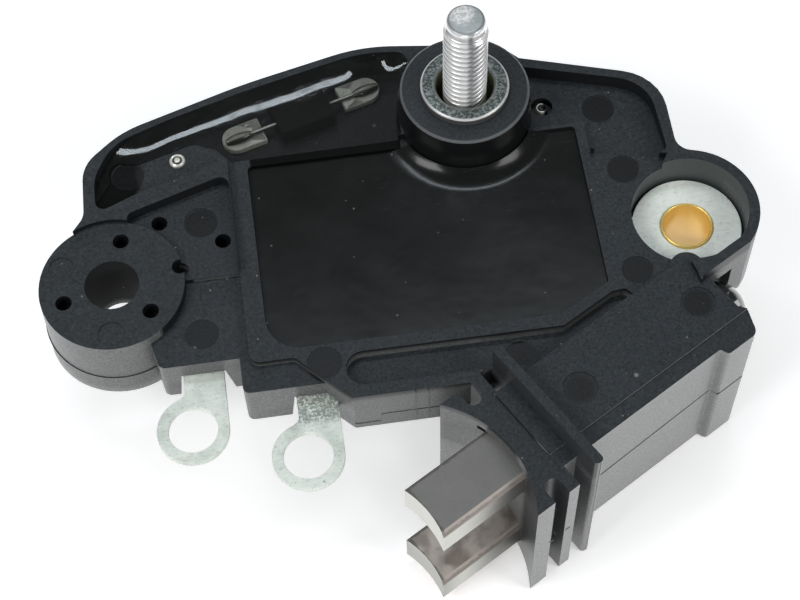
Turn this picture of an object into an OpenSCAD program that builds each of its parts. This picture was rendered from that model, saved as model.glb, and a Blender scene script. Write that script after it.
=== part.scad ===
// Alternator voltage regulator with its brush holder, a terminal stud and two ring lugs.
// The origin is on the axis of the left mounting bore, in the plane that the ears seat on.
// +X runs to the right mounting bore, +Y to the stud and +Z up, the way the stud points.

/* [Mounting ears] */
// Distance between the two mounting bores
bore_pitch = 78; // [70:0.5:90]
// Diameter of the left mounting bore
bore_d = 7.3; // [5.5:0.1:8.5]
// Radius of the left ear at its top
left_ear_r = 9.7; // [9.2:0.1:11]
// Growth of the left ear's radius down to the seat
ear_draft = 0.4; // [0.1:0.05:0.6]
// Height of the left ear above the seat
left_ear_h = 11.4; // [10:0.1:12]
// Radius of the right ear
right_ear_r = 9.3; // [9:0.1:11]
// Inner diameter of the brass bush in the right ear
bush_bore_d = 6.4; // [5.5:0.1:6.8]
// Wall of the brass bush
bush_wall = 0.4; // [0.3:0.05:0.8]
// Reach of the brass bush below the seat, where it locates the ear
bush_reach = 3.7; // [0.5:0.1:4]
// Rim left around the recess of the right ear
ear_rim_w = 1.45; // [1:0.05:2]
// Distance from the right bore's axis to the flat on the ear's side
ear_flat = 8.9; // [8.5:0.1:9.2]
// Radius of the circle of tooling holes on the left ear
tool_circle_r = 6.75; // [6:0.05:7.5]
// Radius of a tooling hole
tool_hole_r = 1.1; // [0.5:0.05:1.2]

/* [Levels above the seat] */
// Underside of the plate between the ears
base_z = 2; // [1:0.1:3]
// Top of the lug blocks
deck_z = 9.8; // [9:0.1:10.2]
// Top of the frame around the circuit cavity
main_z = 10.9; // [10.5:0.1:11.3]
// Top of the outer rim
rim_z = 12.2; // [11.7:0.1:13]
// Floor of the three-cornered recess beside the left ear
corner_floor_z = 10.4; // [10:0.1:10.8]
// Floor of the pocket at the upper right
pocket_floor_z = 9.8; // [8:0.1:10.4]
// Floor of the long recess beside the cavity
recess_floor_z = 9.1; // [8.5:0.1:10]

/* [Circuit cavity] */
// Left side of the cavity
cavity_x0 = 19.6; // [19:0.1:21]
// Right side of the cavity
cavity_x1 = 65.2; // [64:0.1:66]
// Near side of the cavity
cavity_y0 = -12.7; // [-13:0.1:-11]
// Far side of the cavity
cavity_y1 = 16.2; // [15.5:0.1:16.4]
// Floor of the cavity
cavity_floor_z = 5; // [4.6:0.1:5.4]
// Surface of the potting resin in the cavity
cavity_resin_z = 10.3; // [9.9:0.1:10.5]
// Thickness of the heat sink plate
sink_t = 2.4; // [2:0.1:2.6]
// Thickness of the ceramic circuit board
board_t = 0.8; // [0.6:0.05:1]

/* [Channel with the capacitor] */
// Floor of the channel
channel_floor_z = 7; // [6.5:0.1:7.3]
// Surface of the clear resin in the channel
channel_resin_z = 10.9; // [10.6:0.1:11.3]
// Level of the dry shelf at the channel's left end
shelf_z = 10.7; // [10.4:0.1:11]
// Slope of the capacitor against the X axis, in degrees
channel_a = 16.6; // [15:0.1:18]
// Length of the capacitor body
cap_l = 8.2; // [7:0.1:8.6]
// Width of the capacitor body
cap_w = 5.6; // [4.5:0.1:5.8]
// Height of the capacitor body
cap_h = 2.9; // [2.4:0.1:3.2]
// Diameter of a capacitor lead
lead_d = 0.6; // [0.5:0.05:0.8]
// Width of a solder pad
pad_w = 4.1; // [3.6:0.1:4.4]
// Length of a solder pad
pad_l = 5.9; // [5.2:0.1:6.3]
// Distance from the capacitor's end to a pad
pad_gap = 1.9; // [1:0.1:2.2]
// Length of the solder on a pad
solder_l = 3.8; // [3:0.1:4.2]
// Radius of the solder at its middle
solder_r = 0.75; // [0.6:0.05:1]
// Thickness of the pads, the lugs and the strips
sheet_t = 1; // [0.8:0.05:1.1]

/* [Terminal stud] */
// Place of the stud along X
stud_x = 50.45; // [49.5:0.05:51.5]
// Place of the stud along Y
stud_y = 20.6; // [20:0.05:21]
// Diameter of the stud's thread
stud_d = 6; // [5:0.5:6]
// Top of the stud above the seat
stud_top_z = 32.1; // [28:0.1:40]
// Depth of the shank's relief below the thread
stud_relief = 0.3; // [0.2:0.05:0.4]
// Length of the turned tip above the thread
stud_tip_l = 1.9; // [1.2:0.1:3]
// Top of the boss around the stud
boss_top_z = 16.8; // [15:0.1:17.2]
// Radius of the boss at its top
boss_r = 8.8; // [8.4:0.1:9.2]
// Growth of the boss's radius down to its foot
boss_draft = 0.7; // [0.3:0.05:0.9]
// Top of the steel sleeve
sleeve_top_z = 18; // [17.4:0.1:19]
// Outer radius of the sleeve
sleeve_r = 6.1; // [5.8:0.05:6.5]
// Inner radius of the sleeve
sleeve_bore_r = 4; // [3.6:0.05:4.3]
// Underside of the sleeve, on the output strip
sleeve_foot_z = 8; // [7.8:0.1:9]
// Radius of the stud's buried head
head_r = 5.2; // [4.8:0.1:5.6]
// Height of the stud's buried head
head_h = 3.6; // [3:0.1:4]

/* [Ring lugs] */
// Level of the lugs' top face
lug_z = 6.7; // [6.3:0.1:7]
// Outer radius of a lug ring
lug_r = 4.75; // [4.5:0.05:5.2]
// Radius of the hole in a lug
lug_hole_r = 3.25; // [3:0.05:3.5]
// Width of a lug's shank
shank_w = 5.4; // [5:0.1:6]
// Place of the left lug's ring along X
left_lug_x = 8.6; // [8.4:0.1:8.8]
// Place of the left lug's ring along Y
left_lug_y = -20.4; // [-22:0.1:-19.5]
// Place of the right lug's ring along X
right_lug_x = 23; // [22.8:0.1:23.2]
// Place of the right lug's ring along Y
right_lug_y = -26.2; // [-28:0.1:-25.5]

/* [Brush holder] */
// Angle of the brushes' axis against the X axis, in degrees
brush_a = 30; // [29:0.5:31]
// Distance from the left bore's axis to the brushes' plane
brush_offset = 50.4; // [50.1:0.1:50.6]
// Distance along the brushes from the left bore's axis to the deepest point of the slip ring arc
arc_depth_x = 26.6; // [26:0.1:27]
// Radius of the arc that clears the slip rings
arc_r = 16; // [15:0.5:18]
// Thickness of the front plate behind the arc's deepest point
plate_t = 3.5; // [3:0.1:4]
// Half the width of the front plate
plate_half_w = 9.75; // [9.3:0.05:10]
// Radius of the seal grooves in the front plate's ends
groove_r = 1.15; // [0.9:0.05:1.2]
// Length of the neck between the front plate and the seal flange
neck_l = 2.1; // [1.8:0.1:2.6]
// Thickness of the seal flange
flange_t = 1.3; // [1:0.1:1.8]
// Half the width of the seal flange
flange_half_w = 10.15; // [9.8:0.05:10.6]
// Top of the seal flange
flange_top_z = 14.5; // [13.5:0.1:15.5]
// Half the width of the neck and the box
box_half_w = 6.6; // [6.3:0.1:7]
// Rear wall of the box between the brush chambers and the plug's seat
rear_wall = 1.4; // [1.2:0.1:2]
// Depth of the plug's seat in the rear wall
plug_seat = 1.2; // [1:0.1:1.6]
// Top of the neck and the box
box_top_z = 11.3; // [11.1:0.1:11.8]
// Underside of the brush holder
holder_z0 = -14.4; // [-15.5:0.1:-14]
// Width of the pad at the box's rear corner
pad_proud = 1.2; // [0.8:0.1:1.5]
// Radius of the plug in the box's rear end
plug_r = 3.6; // [3:0.1:4]
// Height of the plug's centre
plug_z = 4.6; // [3.5:0.1:5]
// Gap around the plug where it passes the right ear
plug_gap = 0.5; // [0.3:0.1:0.8]
// Reach of the plug behind the box
plug_reach = 4.4; // [3:0.1:5]

/* [Brushes] */
// Width of a brush
brush_w = 8; // [7:0.1:8.4]
// Thickness of a brush
brush_t = 5; // [4.5:0.1:5.4]
// Reach of a brush out of the arc's deepest point at rest
brush_out = 13.7; // [12.5:0.1:15]
// Length of a brush
brush_l = 20; // [18:0.1:22]
// Top of the upper brush
upper_brush_z = 8.8; // [8.6:0.1:8.9]
// Distance between the two brushes
brush_pitch = 16.6; // [16:0.1:17]
// Radius of the hollow that the slip ring wears in a brush's tip
tip_r = 14; // [9:0.5:20]
// Size of the chamfer along a brush's outer edge
brush_chamfer = 0.7; // [0.4:0.05:0.9]
// Play on each side of a brush in its chamber
brush_play = 0.1; // [0.05:0.01:0.2]
// Spare length of a chamber behind the closed spring
chamber_spare = 6.8; // [6:0.1:8]
// Travel of a brush from rest to fully in
brush_travel = 12; // [8:0.5:12]
// Mean radius of a brush spring
spring_r = 1.95; // [1.7:0.05:2.1]
// Diameter of the spring wire
spring_wire_d = 0.5; // [0.4:0.05:0.6]
// Turns of a brush spring
spring_turns = 14; // [10:1:18]
// Diameter of a brush's copper pigtail
pigtail_d = 1.6; // [1.2:0.1:2]

/* [Hidden] */
$fn = 48;

// Small gap between pieces that are pressed or moulded together
fit = 0.04;
// Overshoot of a cut past the face it opens
over = 1;
plastic = "#2b2e31";
resin = "#1b1c1c";
tinned = "#c7cdc6";
bore_r = bore_d / 2;
bush_bore_r = bush_bore_d / 2;
bush_r = bush_bore_r + bush_wall;
ear_recess_r = right_ear_r - ear_rim_w;
ground_z = 7.4;
ground_r = ear_recess_r - 0.4;
ground_flat = ground_r - 0.3;
frame_x0 = 17;
frame_y0 = -14.1;
recess_y1 = -14.4;
block_x0 = 5;
block_x1 = 15.7;
left_block_y0 = -12.6;
right_block_y0 = -17.8;
main_y0 = -21;
main_x0 = 29.6;
chamfer_x0 = main_x0 + right_block_y0 - main_y0 - 6.4;
step_y = -0.2;
slot_z1 = lug_z + 0.3;
stud_hole_r = stud_d / 2 + 0.2;
strip_z = sleeve_foot_z;
pad_z = channel_floor_z + sheet_t;
cap_x = 28.15;
cap_y = 25.5;
cap_z = channel_floor_z + 0.1;
lead_z = pad_z + fit + lead_d / 2 + 0.15;
solder_x = cap_l / 2 + pad_gap + pad_l - 0.35 - solder_l;
plate_x1 = arc_depth_x + plate_t;
flange_x0 = plate_x1 + neck_l;
brush_tip_x = arc_depth_x - brush_out;
terminal_t = 0.8;
brush_x1 = brush_tip_x + brush_l;
spring_x1 = brush_x1 + brush_travel + (spring_turns + 1) * spring_wire_d + chamber_spare;
chamber_x1 = spring_x1 + terminal_t;
box_x1 = chamber_x1 + rear_wall + plug_seat;
ear_flat_y = brush_offset - bore_pitch * sin(brush_a) - ear_flat;
tongue_x = box_x1 - 1.2;
tongue_y = box_half_w - 1.45;
tongue_r = 2.3;
ledge_y = -box_half_w + 2.2;
ledge_drop = 0.3;
meniscus_w = 3.2;
meniscus_h = 1.3;
meniscus_r = (meniscus_w * meniscus_w + meniscus_h * meniscus_h) / (2 * meniscus_h);
shelf_pin_x = 10.15;
shelf_pin_y = 18.7;
shelf_pin_r = 1.15;
pocket_pin_x = 61.5;
pocket_pin_y = 20.8;
pocket_pin_r = 0.8;

// Points of an arc
function arc(c, r, a0, a1, n = 10) =
    [for (i = [0:n]) let (a = a0 + (a1 - a0) * i / n) [c[0] + r * cos(a), c[1] + r * sin(a)]];

// Direction from one point to another
function toward(a, b) = (b - a) / norm(b - a);

// Points of a rounded corner at b, between a and c
function corner(a, b, c, r, n = 6) =
    let (u = toward(b, a), v = toward(b, c), half = acos(u * v) / 2)
    let (m = b + (u + v) / norm(u + v) * r / sin(half))
    let (s = b + u * r / tan(half) - m, e = b + v * r / tan(half) - m)
    let (a0 = atan2(s[1], s[0]), turn = atan2(s[0] * e[1] - s[1] * e[0], s * e))
    arc(m, r, a0, a0 + turn, n);

// Outline through points that each give x, y and the radius of their corner
function rounded(p) =
    let (n = len(p), q = [for (k = p) [k[0], k[1]]])
    [for (i = [0:n - 1])
        each p[i][2] > 0 ? corner(q[(i + n - 1) % n], q[i], q[(i + 1) % n], p[i][2]) : [q[i]]];

// Solid with a rounded outline between two levels
module slab(p, z0, z1) {
    translate([0, 0, z0]) linear_extrude(z1 - z0) polygon(rounded(p));
}

// Upright round solid between two levels
module post(x, y, r, z0, z1) {
    translate([x, y, z0]) cylinder(r = r, h = z1 - z0);
}

// Block between two corners
module brick(a, b) {
    translate(a) cube(b - a);
}

// Places its children in the frame of the brushes: x along them, y across and z up
module brush_frame() {
    rotate([0, 0, brush_a]) translate([0, -brush_offset, 0]) children();
}

// Outline of everything between the ears, at the level of the rim
function body_outline() = [
    [block_x0 - 1, -7, 0],
    [block_x0 + 0.2, left_block_y0, 1],
    [block_x1, left_block_y0, 0],
    [block_x1, right_block_y0, 0.9],
    [chamfer_x0, right_block_y0, 0],
    [main_x0, main_y0, 0.6],
    [47.4, main_y0, 0],
    [52, -24, 0],
    [bore_pitch - 0.6, -right_ear_r - 1.6, 0],
    [bore_pitch + right_ear_r * sin(brush_a), -right_ear_r * cos(brush_a), 0],
    [bore_pitch + right_ear_r * cos(77), right_ear_r * sin(77), 0],
    [bore_pitch + 0.2, right_ear_r + 0.25, 2.4],
    [bore_pitch + 0.2, 22, 7],
    [stud_x + 7, 28.5, 0],
    [stud_x, 31.5, 0],
    [37.6, 33.25, 24],
    [20, 29.1, 90],
    [3, 23.7, 14],
    [-2.75, 18.9, 5.5],
    [-3, 10.6, 3],
    [-9, 2.9, 0]
];

function cavity_outline(inset = 0) = [
    [cavity_x0 + inset, cavity_y0 + inset, 4.5 - inset * 0.6],
    [58.1 - inset * 0.3, cavity_y0 + inset, 0.5],
    [cavity_x1 - inset, cavity_y0 + 3.8 + inset * 0.5, 0.5],
    [cavity_x1 - inset, cavity_y1 - inset, 0.5],
    [cavity_x0 + inset, cavity_y1 - inset, 0.6]
];

function channel_outline() = [
    [-1.35, 10.9, 1.2],
    [-1.3, 16.6, 6],
    [1.6, 21.9, 7],
    [9.6, 24.8, 20],
    [20, 27.9, 60],
    [37.4, 32.2, 20],
    [43.7, 31.4, 1.8],
    [43.9, 28.5, 0],
    [41.6, 24.6, 0],
    [41.2, 17.5, 0.5],
    [17.2, 17.3, 0.5],
    [4.6, 13.4, 2]
];

// Dry shelf at the left end of the channel
function shelf_outline() = [
    [-3, 9.5, 0],
    [-3, 13.4, 0],
    [-1, 13.6, 0.6],
    [0.6, 16.2, 0.8],
    [0.7, 19.7, 1.6],
    [5, 18.9, 1.5],
    [12.6, 21.2, 2.2],
    [15.6, 19.8, 2],
    [17.9, 16.8, 0],
    [18.6, 9.5, 0]
];

function pocket_outline() = [
    [55, 27.7, 0],
    [bore_pitch - 1.6, 21.3, 6],
    [bore_pitch - 1.1, 9, 1.2],
    [66.6, 11.4, 0.6],
    [66.6, cavity_y1 + 0.5, 0],
    [55, cavity_y1 + 0.5, 0]
];

function corner_recess_outline() = [
    [2.6, 10.2, 1],
    [frame_x0 - 0.1, 14.75, 1.3],
    [frame_x0, step_y, 0],
    [5, step_y, 0]
];

// Everything at the level of the cavity's frame or lower
function main_outline() = [
    [frame_x0, -40, 0],
    [81, -40, 0],
    [bore_pitch - 1.2, -9.6, 0],
    [bore_pitch - 4, 0, 0],
    [bore_pitch - 3.5, 5.5, 0],
    [bore_pitch - 1.3, 9.1, 0],
    [66.6, 11.4, 0],
    [66.6, 17.5, 0],
    [frame_x0, 17.5, 0]
];

// Everything at the level of the lug blocks or lower
function deck_outline() = [
    [-20, -40, 0],
    [chamfer_x0 + 0.3, -40, 0],
    [chamfer_x0 + 0.3, right_block_y0 - 0.3, 0],
    [chamfer_x0 - 3.6, frame_y0, 0.8],
    [frame_x0, frame_y0, 1.3],
    [frame_x0, step_y, 0],
    [-20, step_y, 0]
];

function long_recess_outline() = [
    [29.2, recess_y1, 2.4],
    [58.2, recess_y1 - 0.1, 0.5],
    [65.4, -10.4, 0.8],
    [67.2, -10.2, 0.8],
    [69.5, -13, 0],
    [60, -20, 0],
    [48, -19.3, 0],
    [29.2, -19.3, 2.4]
];

// Smooth marks that the ejector pins left: place, radius and level
marks = [
    [12.5, 8.5, 2.3, corner_floor_z],
    [11.1, -8.2, 2.3, deck_z],
    [26.6, -15.4, 2.3, main_z],
    [13.4, -2.6, 2.1, deck_z],
    [3.2, 17.3, 2.3, shelf_z],
    [69.2, 19.3, 2.3, pocket_floor_z],
    [70.5, 8.2, 2.2, main_z],
    [69.3, -7.7, 2.1, main_z],
    [58.6, -24, 2.3, box_top_z],
    [76.1, -13.9, 2.3, box_top_z],
    [52.1, -17.2, 2.3, recess_floor_z],
    [-6.5, 3.5, 1.7, left_ear_h],
    [-0.5, -7.4, 1.8, left_ear_h]
];
mark_depth = 0.15;

// Round holes for the moulding tool's pins: place and level of the face
tool_holes = [
    [6.9, 9.2, corner_floor_z],
    [15.2, 5.2, corner_floor_z],
    [9.2, 1.5, left_ear_h]
];
tool_hole_depth = 2.5;

module ejector_marks() {
    for (m = marks)
        post(m[0], m[1], m[2], m[3] - mark_depth, m[3] + over * 0.2);
}

module tooling_holes() {
    for (k = [0:2])
        rotate(76 + 120 * k)
            post(tool_circle_r, 0, tool_hole_r, left_ear_h - tool_hole_depth, left_ear_h + over);
    for (h = tool_holes)
        post(h[0], h[1], tool_hole_r, h[2] - tool_hole_depth, h[2] + over);
}

// Tapered slot under a lug, open to the front and the underside
module lug_slot(x, y_front, width) {
    rotate([90, 0, 0])
        translate([x, 0, -y_front - 6])
            linear_extrude(6 + over)
                polygon([
                    [-width / 2 - 0.2, slot_z1],
                    [-width / 2 - 0.9, base_z - over],
                    [width / 2 + 1.4, base_z - over],
                    [width / 2 + 0.2, slot_z1]
                ]);
}

// The plate between the ears, with every level cut into it
module body_plate() {
    difference() {
        union() {
            slab(body_outline(), base_z, rim_z);
            post(bore_pitch, 0, right_ear_r, 0, rim_z);
            post(stud_x, stud_y, boss_r + 2.7, base_z, rim_z);
        }
        slab(deck_outline(), deck_z, rim_z + over);
        slab(main_outline(), main_z, rim_z + over);
        brush_frame() brick([box_x1 - 1, -20, -over], [box_x1 + 15, ear_flat_y, rim_z + over]);
        slab(corner_recess_outline(), corner_floor_z, rim_z + over);
        slab(pocket_outline(), pocket_floor_z, rim_z + over);
        slab(long_recess_outline(), recess_floor_z, rim_z + over);
        post(0, 0, left_ear_r, left_ear_h, rim_z + over);
        ear_recess();
        difference() {
            slab(channel_outline(), channel_floor_z, rim_z + over);
            slab(shelf_outline(), base_z, shelf_z);
        }
        slab(cavity_outline(), cavity_floor_z, rim_z + over);
    }
    cylinder(r1 = left_ear_r + ear_draft, r2 = left_ear_r, h = left_ear_h);
    boss();
    ear_tongue();
}

// Deep recess of the right ear, cut flat on the side of the brush box
module ear_recess() {
    translate([bore_pitch, 0, ground_z - sheet_t])
        intersection() {
            cylinder(r = ear_recess_r, h = rim_z);
            rotate([0, 0, brush_a]) brick([-15, -ear_recess_r + 0.3, 0], [15, 15, rim_z]);
        }
}

// Rounded post of the box that stands into the ear's recess
module ear_tongue() {
    brush_frame() post(tongue_x, tongue_y, tongue_r, base_z, box_top_z);
}

module boss() {
    translate([stud_x, stud_y, 0])
        rotate_extrude()
            polygon([
                [0, base_z],
                [boss_r + boss_draft, base_z],
                [boss_r + boss_draft, cavity_resin_z - 1.5],
                [boss_r + 0.1, boss_top_z - 0.3],
                [boss_r - 0.2, boss_top_z],
                [0, boss_top_z]
            ]);
}

// Plan of the front plate, with the slip ring arc and the two seal grooves
function front_plate_plan() =
    let (w = plate_half_w, cx = arc_depth_x - arc_r, a = asin(w / arc_r))
    let (gx = (arc_depth_x + plate_x1) / 2 - 1.1, gy = w - 1.8)
    concat(
        arc([cx, 0], arc_r, -a, a, 24),
        [[gx - groove_r, w]],
        arc([gx, gy], groove_r, 180, 360, 12),
        [[gx + groove_r, w], [plate_x1, w], [plate_x1, -w], [gx + groove_r, -w]],
        arc([gx, -gy], groove_r, 0, 180, 12),
        [[gx - groove_r, -w]]
    );

module holder_solid() {
    translate([0, 0, holder_z0]) linear_extrude(main_z - holder_z0) polygon(front_plate_plan());
    brick([plate_x1 - 0.5, -box_half_w, holder_z0], [flange_x0 + 0.2, box_half_w, box_top_z]);
    slab([
        [flange_x0, -flange_half_w, 0.6],
        [flange_x0 + flange_t, -flange_half_w, 0.6],
        [flange_x0 + flange_t, flange_half_w, 0],
        [flange_x0, flange_half_w, 0]
    ], holder_z0, flange_top_z);
    slab([
        [flange_x0 + 0.5, -box_half_w, 0],
        [box_x1 - 6, -box_half_w, 0.4],
        [box_x1 - 5.6, -box_half_w - pad_proud, 0.6],
        [box_x1 - 0.6, -box_half_w - pad_proud, 1.3],
        [box_x1 + 0.8, ledge_y, 0.4],
        [box_x1, ledge_y + 1, 0],
        [box_x1, 3.4, 0.8],
        [box_x1 - 2.5, box_half_w, 1],
        [flange_x0 + 0.5, box_half_w, 0]
    ], holder_z0, box_top_z);
}

// Chamber that a brush slides in, from the arc to the rear wall
module chamber(z_top) {
    brick(
        [arc_depth_x - 6, -brush_w / 2 - brush_play, z_top - brush_t - brush_play],
        [chamber_x1, brush_w / 2 + brush_play, z_top + brush_play]
    );
}

module brush_holder() {
    brush_frame()
        difference() {
            holder_solid();
            for (k = [0, 1])
                chamber(upper_brush_z - k * brush_pitch);
            for (x = [[plate_x1 - 6, flange_x0], [flange_x0 + flange_t, box_x1 + 3]])
                brick([x[0], -box_half_w - 5, box_top_z - ledge_drop], [x[1], ledge_y, box_top_z + over]);
            translate([box_x1 - plug_seat, 0, plug_z])
                rotate([0, 90, 0]) cylinder(r = plug_r + fit, h = 6);
            // Small locating slot beside the upper brush
            brick([arc_depth_x - 3, brush_w / 2, upper_brush_z - 0.5],
                [arc_depth_x + 1, brush_w / 2 + 1.2, upper_brush_z + 0.4]);
        }
}

// Slot beside the neck, through which the flange's face shows
module neck_gap() {
    brush_frame()
        brick([plate_x1, box_half_w, holder_z0 - over], [flange_x0, flange_half_w + 0.2, rim_z + over]);
}

module housing() {
    color(plastic)
        difference() {
            union() {
                difference() {
                    body_plate();
                    neck_gap();
                    brush_frame()
                        for (k = [0, 1])
                            chamber(upper_brush_z - k * brush_pitch);
                }
                brush_holder();
            }
            post(0, 0, bore_r, -over, left_ear_h + over);
            post(bore_pitch, 0, bush_r + fit, -over, ground_z);
            brush_frame() {
                translate([box_x1 - plug_seat, 0, plug_z])
                    rotate([0, 90, 0]) cylinder(r = plug_r + fit, h = plug_seat + over);
                translate([box_x1 + fit, 0, plug_z])
                    rotate([0, 90, 0]) cylinder(r = plug_r + plug_gap, h = plug_reach + plug_gap);
            }
            lug_slot(left_lug_x + lug_r - shank_w / 2, left_block_y0, shank_w);
            lug_slot(right_lug_x + lug_r - shank_w / 2, right_block_y0, shank_w);
            ejector_marks();
            tooling_holes();
            embedded_spaces();
        }
}

// Spaces that the metal pieces take up inside the moulding
module embedded_spaces() {
    post(stud_x, stud_y, sleeve_r + fit, sleeve_foot_z, boss_top_z + over);
    post(stud_x, stud_y, head_r + fit, strip_z - sheet_t - head_h - fit, strip_z - sheet_t);
    output_strip_shape(fit);
    ground_strip_shape(fit);
    lug_tail(left_tail(), fit);
    lug_tail(right_tail(), fit);
    post(shelf_pin_x, shelf_pin_y, shelf_pin_r + fit, shelf_z - 3, shelf_z + over);
    post(pocket_pin_x, pocket_pin_y, pocket_pin_r + 0.7, pocket_floor_z - 1.2, pocket_floor_z + over);
    post(pocket_pin_x, pocket_pin_y, pocket_pin_r + fit, pocket_floor_z - 4, pocket_floor_z);
    slab(cavity_outline(1.2 - fit), base_z - over, base_z + sink_t + fit);
    slab(cavity_outline(3), base_z, cavity_floor_z + over);
}

// Flat piece of sheet metal below a level, with a gap around it when it cuts its space
module sheet_slab(p, z_top, gap = 0) {
    translate([0, 0, z_top - sheet_t - gap])
        linear_extrude(sheet_t + 2 * gap)
            polygon(rounded(p));
}

function strip(x0, y0, x1, y1) = [[x0, y0, 0], [x1, y0, 0], [x1, y1, 0], [x0, y1, 0]];

// Strip from the sleeve's foot down into the cavity
module output_strip_shape(gap = 0) {
    w = 3.4;
    difference() {
        union() {
            post(stud_x, stud_y, sleeve_r + gap, strip_z - sheet_t - gap, strip_z + gap);
            sheet_slab(strip(stud_x - w - gap, 8, stud_x + w + gap, stud_y), strip_z, gap);
        }
        if (gap == 0)
            post(stud_x, stud_y, stud_hole_r, 0, strip_z + over);
    }
}

// Strip from the eyelet plate of the right ear into the cavity
module ground_strip_shape(gap = 0) {
    w = 2.5;
    sheet_slab(strip(cavity_x1 - 4, -w - gap, bore_pitch - ground_r + 1.2, w + gap), ground_z, gap);
}

// Routes of the lugs inside the moulding, from the slot to the cavity
function left_tail() = strip(left_lug_x + lug_r - shank_w, -10.8, cavity_x0 + 2, -6.6);
function right_tail() =
    strip(right_lug_x + lug_r - shank_w, -16, right_lug_x + lug_r, cavity_y0 + 3.4);

module lug_tail(p, gap = 0) {
    sheet_slab([for (q = p) [q[0] + (q[0] > p[0][0] ? gap : -gap), q[1] + (q[1] > p[0][1] ? gap : -gap), 0]],
        lug_z, gap);
}

// Ring, shank and buried tail of a lug, with its blend on the left side
module lug(x, y, y_root, tail) {
    color(tinned) {
        difference() {
            union() {
                post(x, y, lug_r, lug_z - sheet_t, lug_z);
                sheet_slab(concat(
                    [[x, y, 0], [x + lug_r, y, 0], [x + lug_r, y_root, 0]],
                    [[x + lug_r - shank_w, y_root, 0], [x + lug_r - shank_w, y + lug_r + 0.4, 0.8]],
                    [[x - 2.6, y + lug_r - 1.1, 0]]
                ), lug_z);
                lug_tail(tail);
            }
            post(x, y, lug_hole_r, 0, lug_z + over);
        }
    }
}

module left_lug() {
    lug(left_lug_x, left_lug_y, -8, left_tail());
}

module right_lug() {
    lug(right_lug_x, right_lug_y, -14, right_tail());
}

module cavity_resin() {
    color(resin)
        difference() {
            union() {
                slab(cavity_outline(fit), cavity_floor_z + fit, cavity_resin_z);
                intersection() {
                    slab(cavity_outline(fit), cavity_floor_z + fit, rim_z);
                    meniscus();
                }
            }
            post(stud_x, stud_y, boss_r + boss_draft + fit, 0, rim_z);
            slab(cavity_outline(3 - fit), 0, base_z + sink_t + board_t + fit);
            output_strip_shape(fit);
            ground_strip_shape(fit);
            lug_tail(left_tail(), fit);
            lug_tail(right_tail(), fit);
            chip_shape(control_chip_box(), fit);
            chip_shape(power_chip_box(), fit);
        }
}

// Hollow fillet where the resin climbs the boss
module meniscus() {
    x0 = boss_r + boss_draft - 0.4;
    x1 = boss_r + boss_draft + meniscus_w;
    a0 = 270 - asin(meniscus_w / meniscus_r);
    translate([stud_x, stud_y, cavity_resin_z])
        rotate_extrude()
            polygon(concat(
                [[x0, -1], [x1, -1]],
                arc([x1, meniscus_r], meniscus_r, 270, a0, 12),
                [[x0, meniscus_h]]
            ));
}

module channel_resin() {
    color([0.12, 0.13, 0.12, 0.6])
        difference() {
            translate([0, 0, channel_floor_z + fit])
                linear_extrude(channel_resin_z - channel_floor_z - fit)
                    difference() {
                        polygon(rounded(channel_outline()));
                        polygon(rounded(shelf_outline()));
                        translate([stud_x, stud_y]) circle(r = boss_r + boss_draft + fit);
                    }
            capacitor_shape(fit);
            for (s = [-1, 1]) {
                pad_shape(s, fit);
                lead_shape(s, fit);
                solder_shape(s, fit);
            }
        }
}

// Threaded stud with its buried head
module terminal_stud() {
    color("#c9ccc9")
        translate([stud_x, stud_y, 0])
            rotate_extrude()
                polygon([
                    [0, strip_z - sheet_t - head_h],
                    [head_r, strip_z - sheet_t - head_h],
                    [head_r, strip_z - sheet_t],
                    [stud_d / 2 - stud_relief, strip_z - sheet_t],
                    [stud_d / 2 - stud_relief, sleeve_top_z + 0.2],
                    [stud_d / 2, sleeve_top_z + 0.2 + stud_relief],
                    [stud_d / 2, stud_top_z - stud_tip_l],
                    [stud_d / 2 - 0.25, stud_top_z - stud_tip_l + 0.5],
                    [stud_d / 2 - 0.25, stud_top_z - 0.5],
                    [stud_d / 2 - 0.65, stud_top_z],
                    [0, stud_top_z]
                ]);
}

module stud_sleeve() {
    color("#aeb4ae")
        translate([stud_x, stud_y, 0])
            rotate_extrude()
                polygon([
                    [sleeve_bore_r, sleeve_foot_z],
                    [sleeve_r, sleeve_foot_z],
                    [sleeve_r, sleeve_top_z - 0.3],
                    [sleeve_r - 0.3, sleeve_top_z],
                    [sleeve_bore_r + 0.3, sleeve_top_z],
                    [sleeve_bore_r, sleeve_top_z - 0.3]
                ]);
}

module output_strip() {
    color(tinned) output_strip_shape();
}

// Eyelet plate in the right ear with its buried strip
module ground_plate() {
    color(tinned)
        difference() {
            union() {
                translate([bore_pitch, 0, ground_z - sheet_t])
                    intersection() {
                        cylinder(r = ground_r, h = sheet_t);
                        rotate([0, 0, brush_a]) brick([-15, -ground_flat, 0], [15, 15, sheet_t]);
                    }
                ground_strip_shape();
            }
            post(bore_pitch, 0, bush_r + fit, 0, ground_z + over);
            brush_frame() post(tongue_x, tongue_y, tongue_r + fit, 0, rim_z);
        }
}

// Brass bush of the right ear, with a small rolled lip on the plate and a spigot below the seat
module ear_bush() {
    color("#c9a042")
        translate([bore_pitch, 0, 0])
            rotate_extrude()
                polygon([
                    [bush_bore_r, -bush_reach],
                    [bush_r, -bush_reach],
                    [bush_r, ground_z + 0.15],
                    [bush_r - 0.15, ground_z + 0.3],
                    [bush_bore_r + 0.1, ground_z + 0.3],
                    [bush_bore_r, ground_z + 0.1]
                ]);
}

// Places its children at the capacitor's centre, on the channel's slope
module capacitor_frame() {
    translate([cap_x, cap_y, 0]) rotate(channel_a) children();
}

module capacitor_shape(gap = 0) {
    capacitor_frame()
        brick(
            [-cap_l / 2 - gap, -cap_w / 2 - gap, cap_z - gap],
            [cap_l / 2 + gap, cap_w / 2 + gap, cap_z + cap_h + gap]
        );
}

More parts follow.
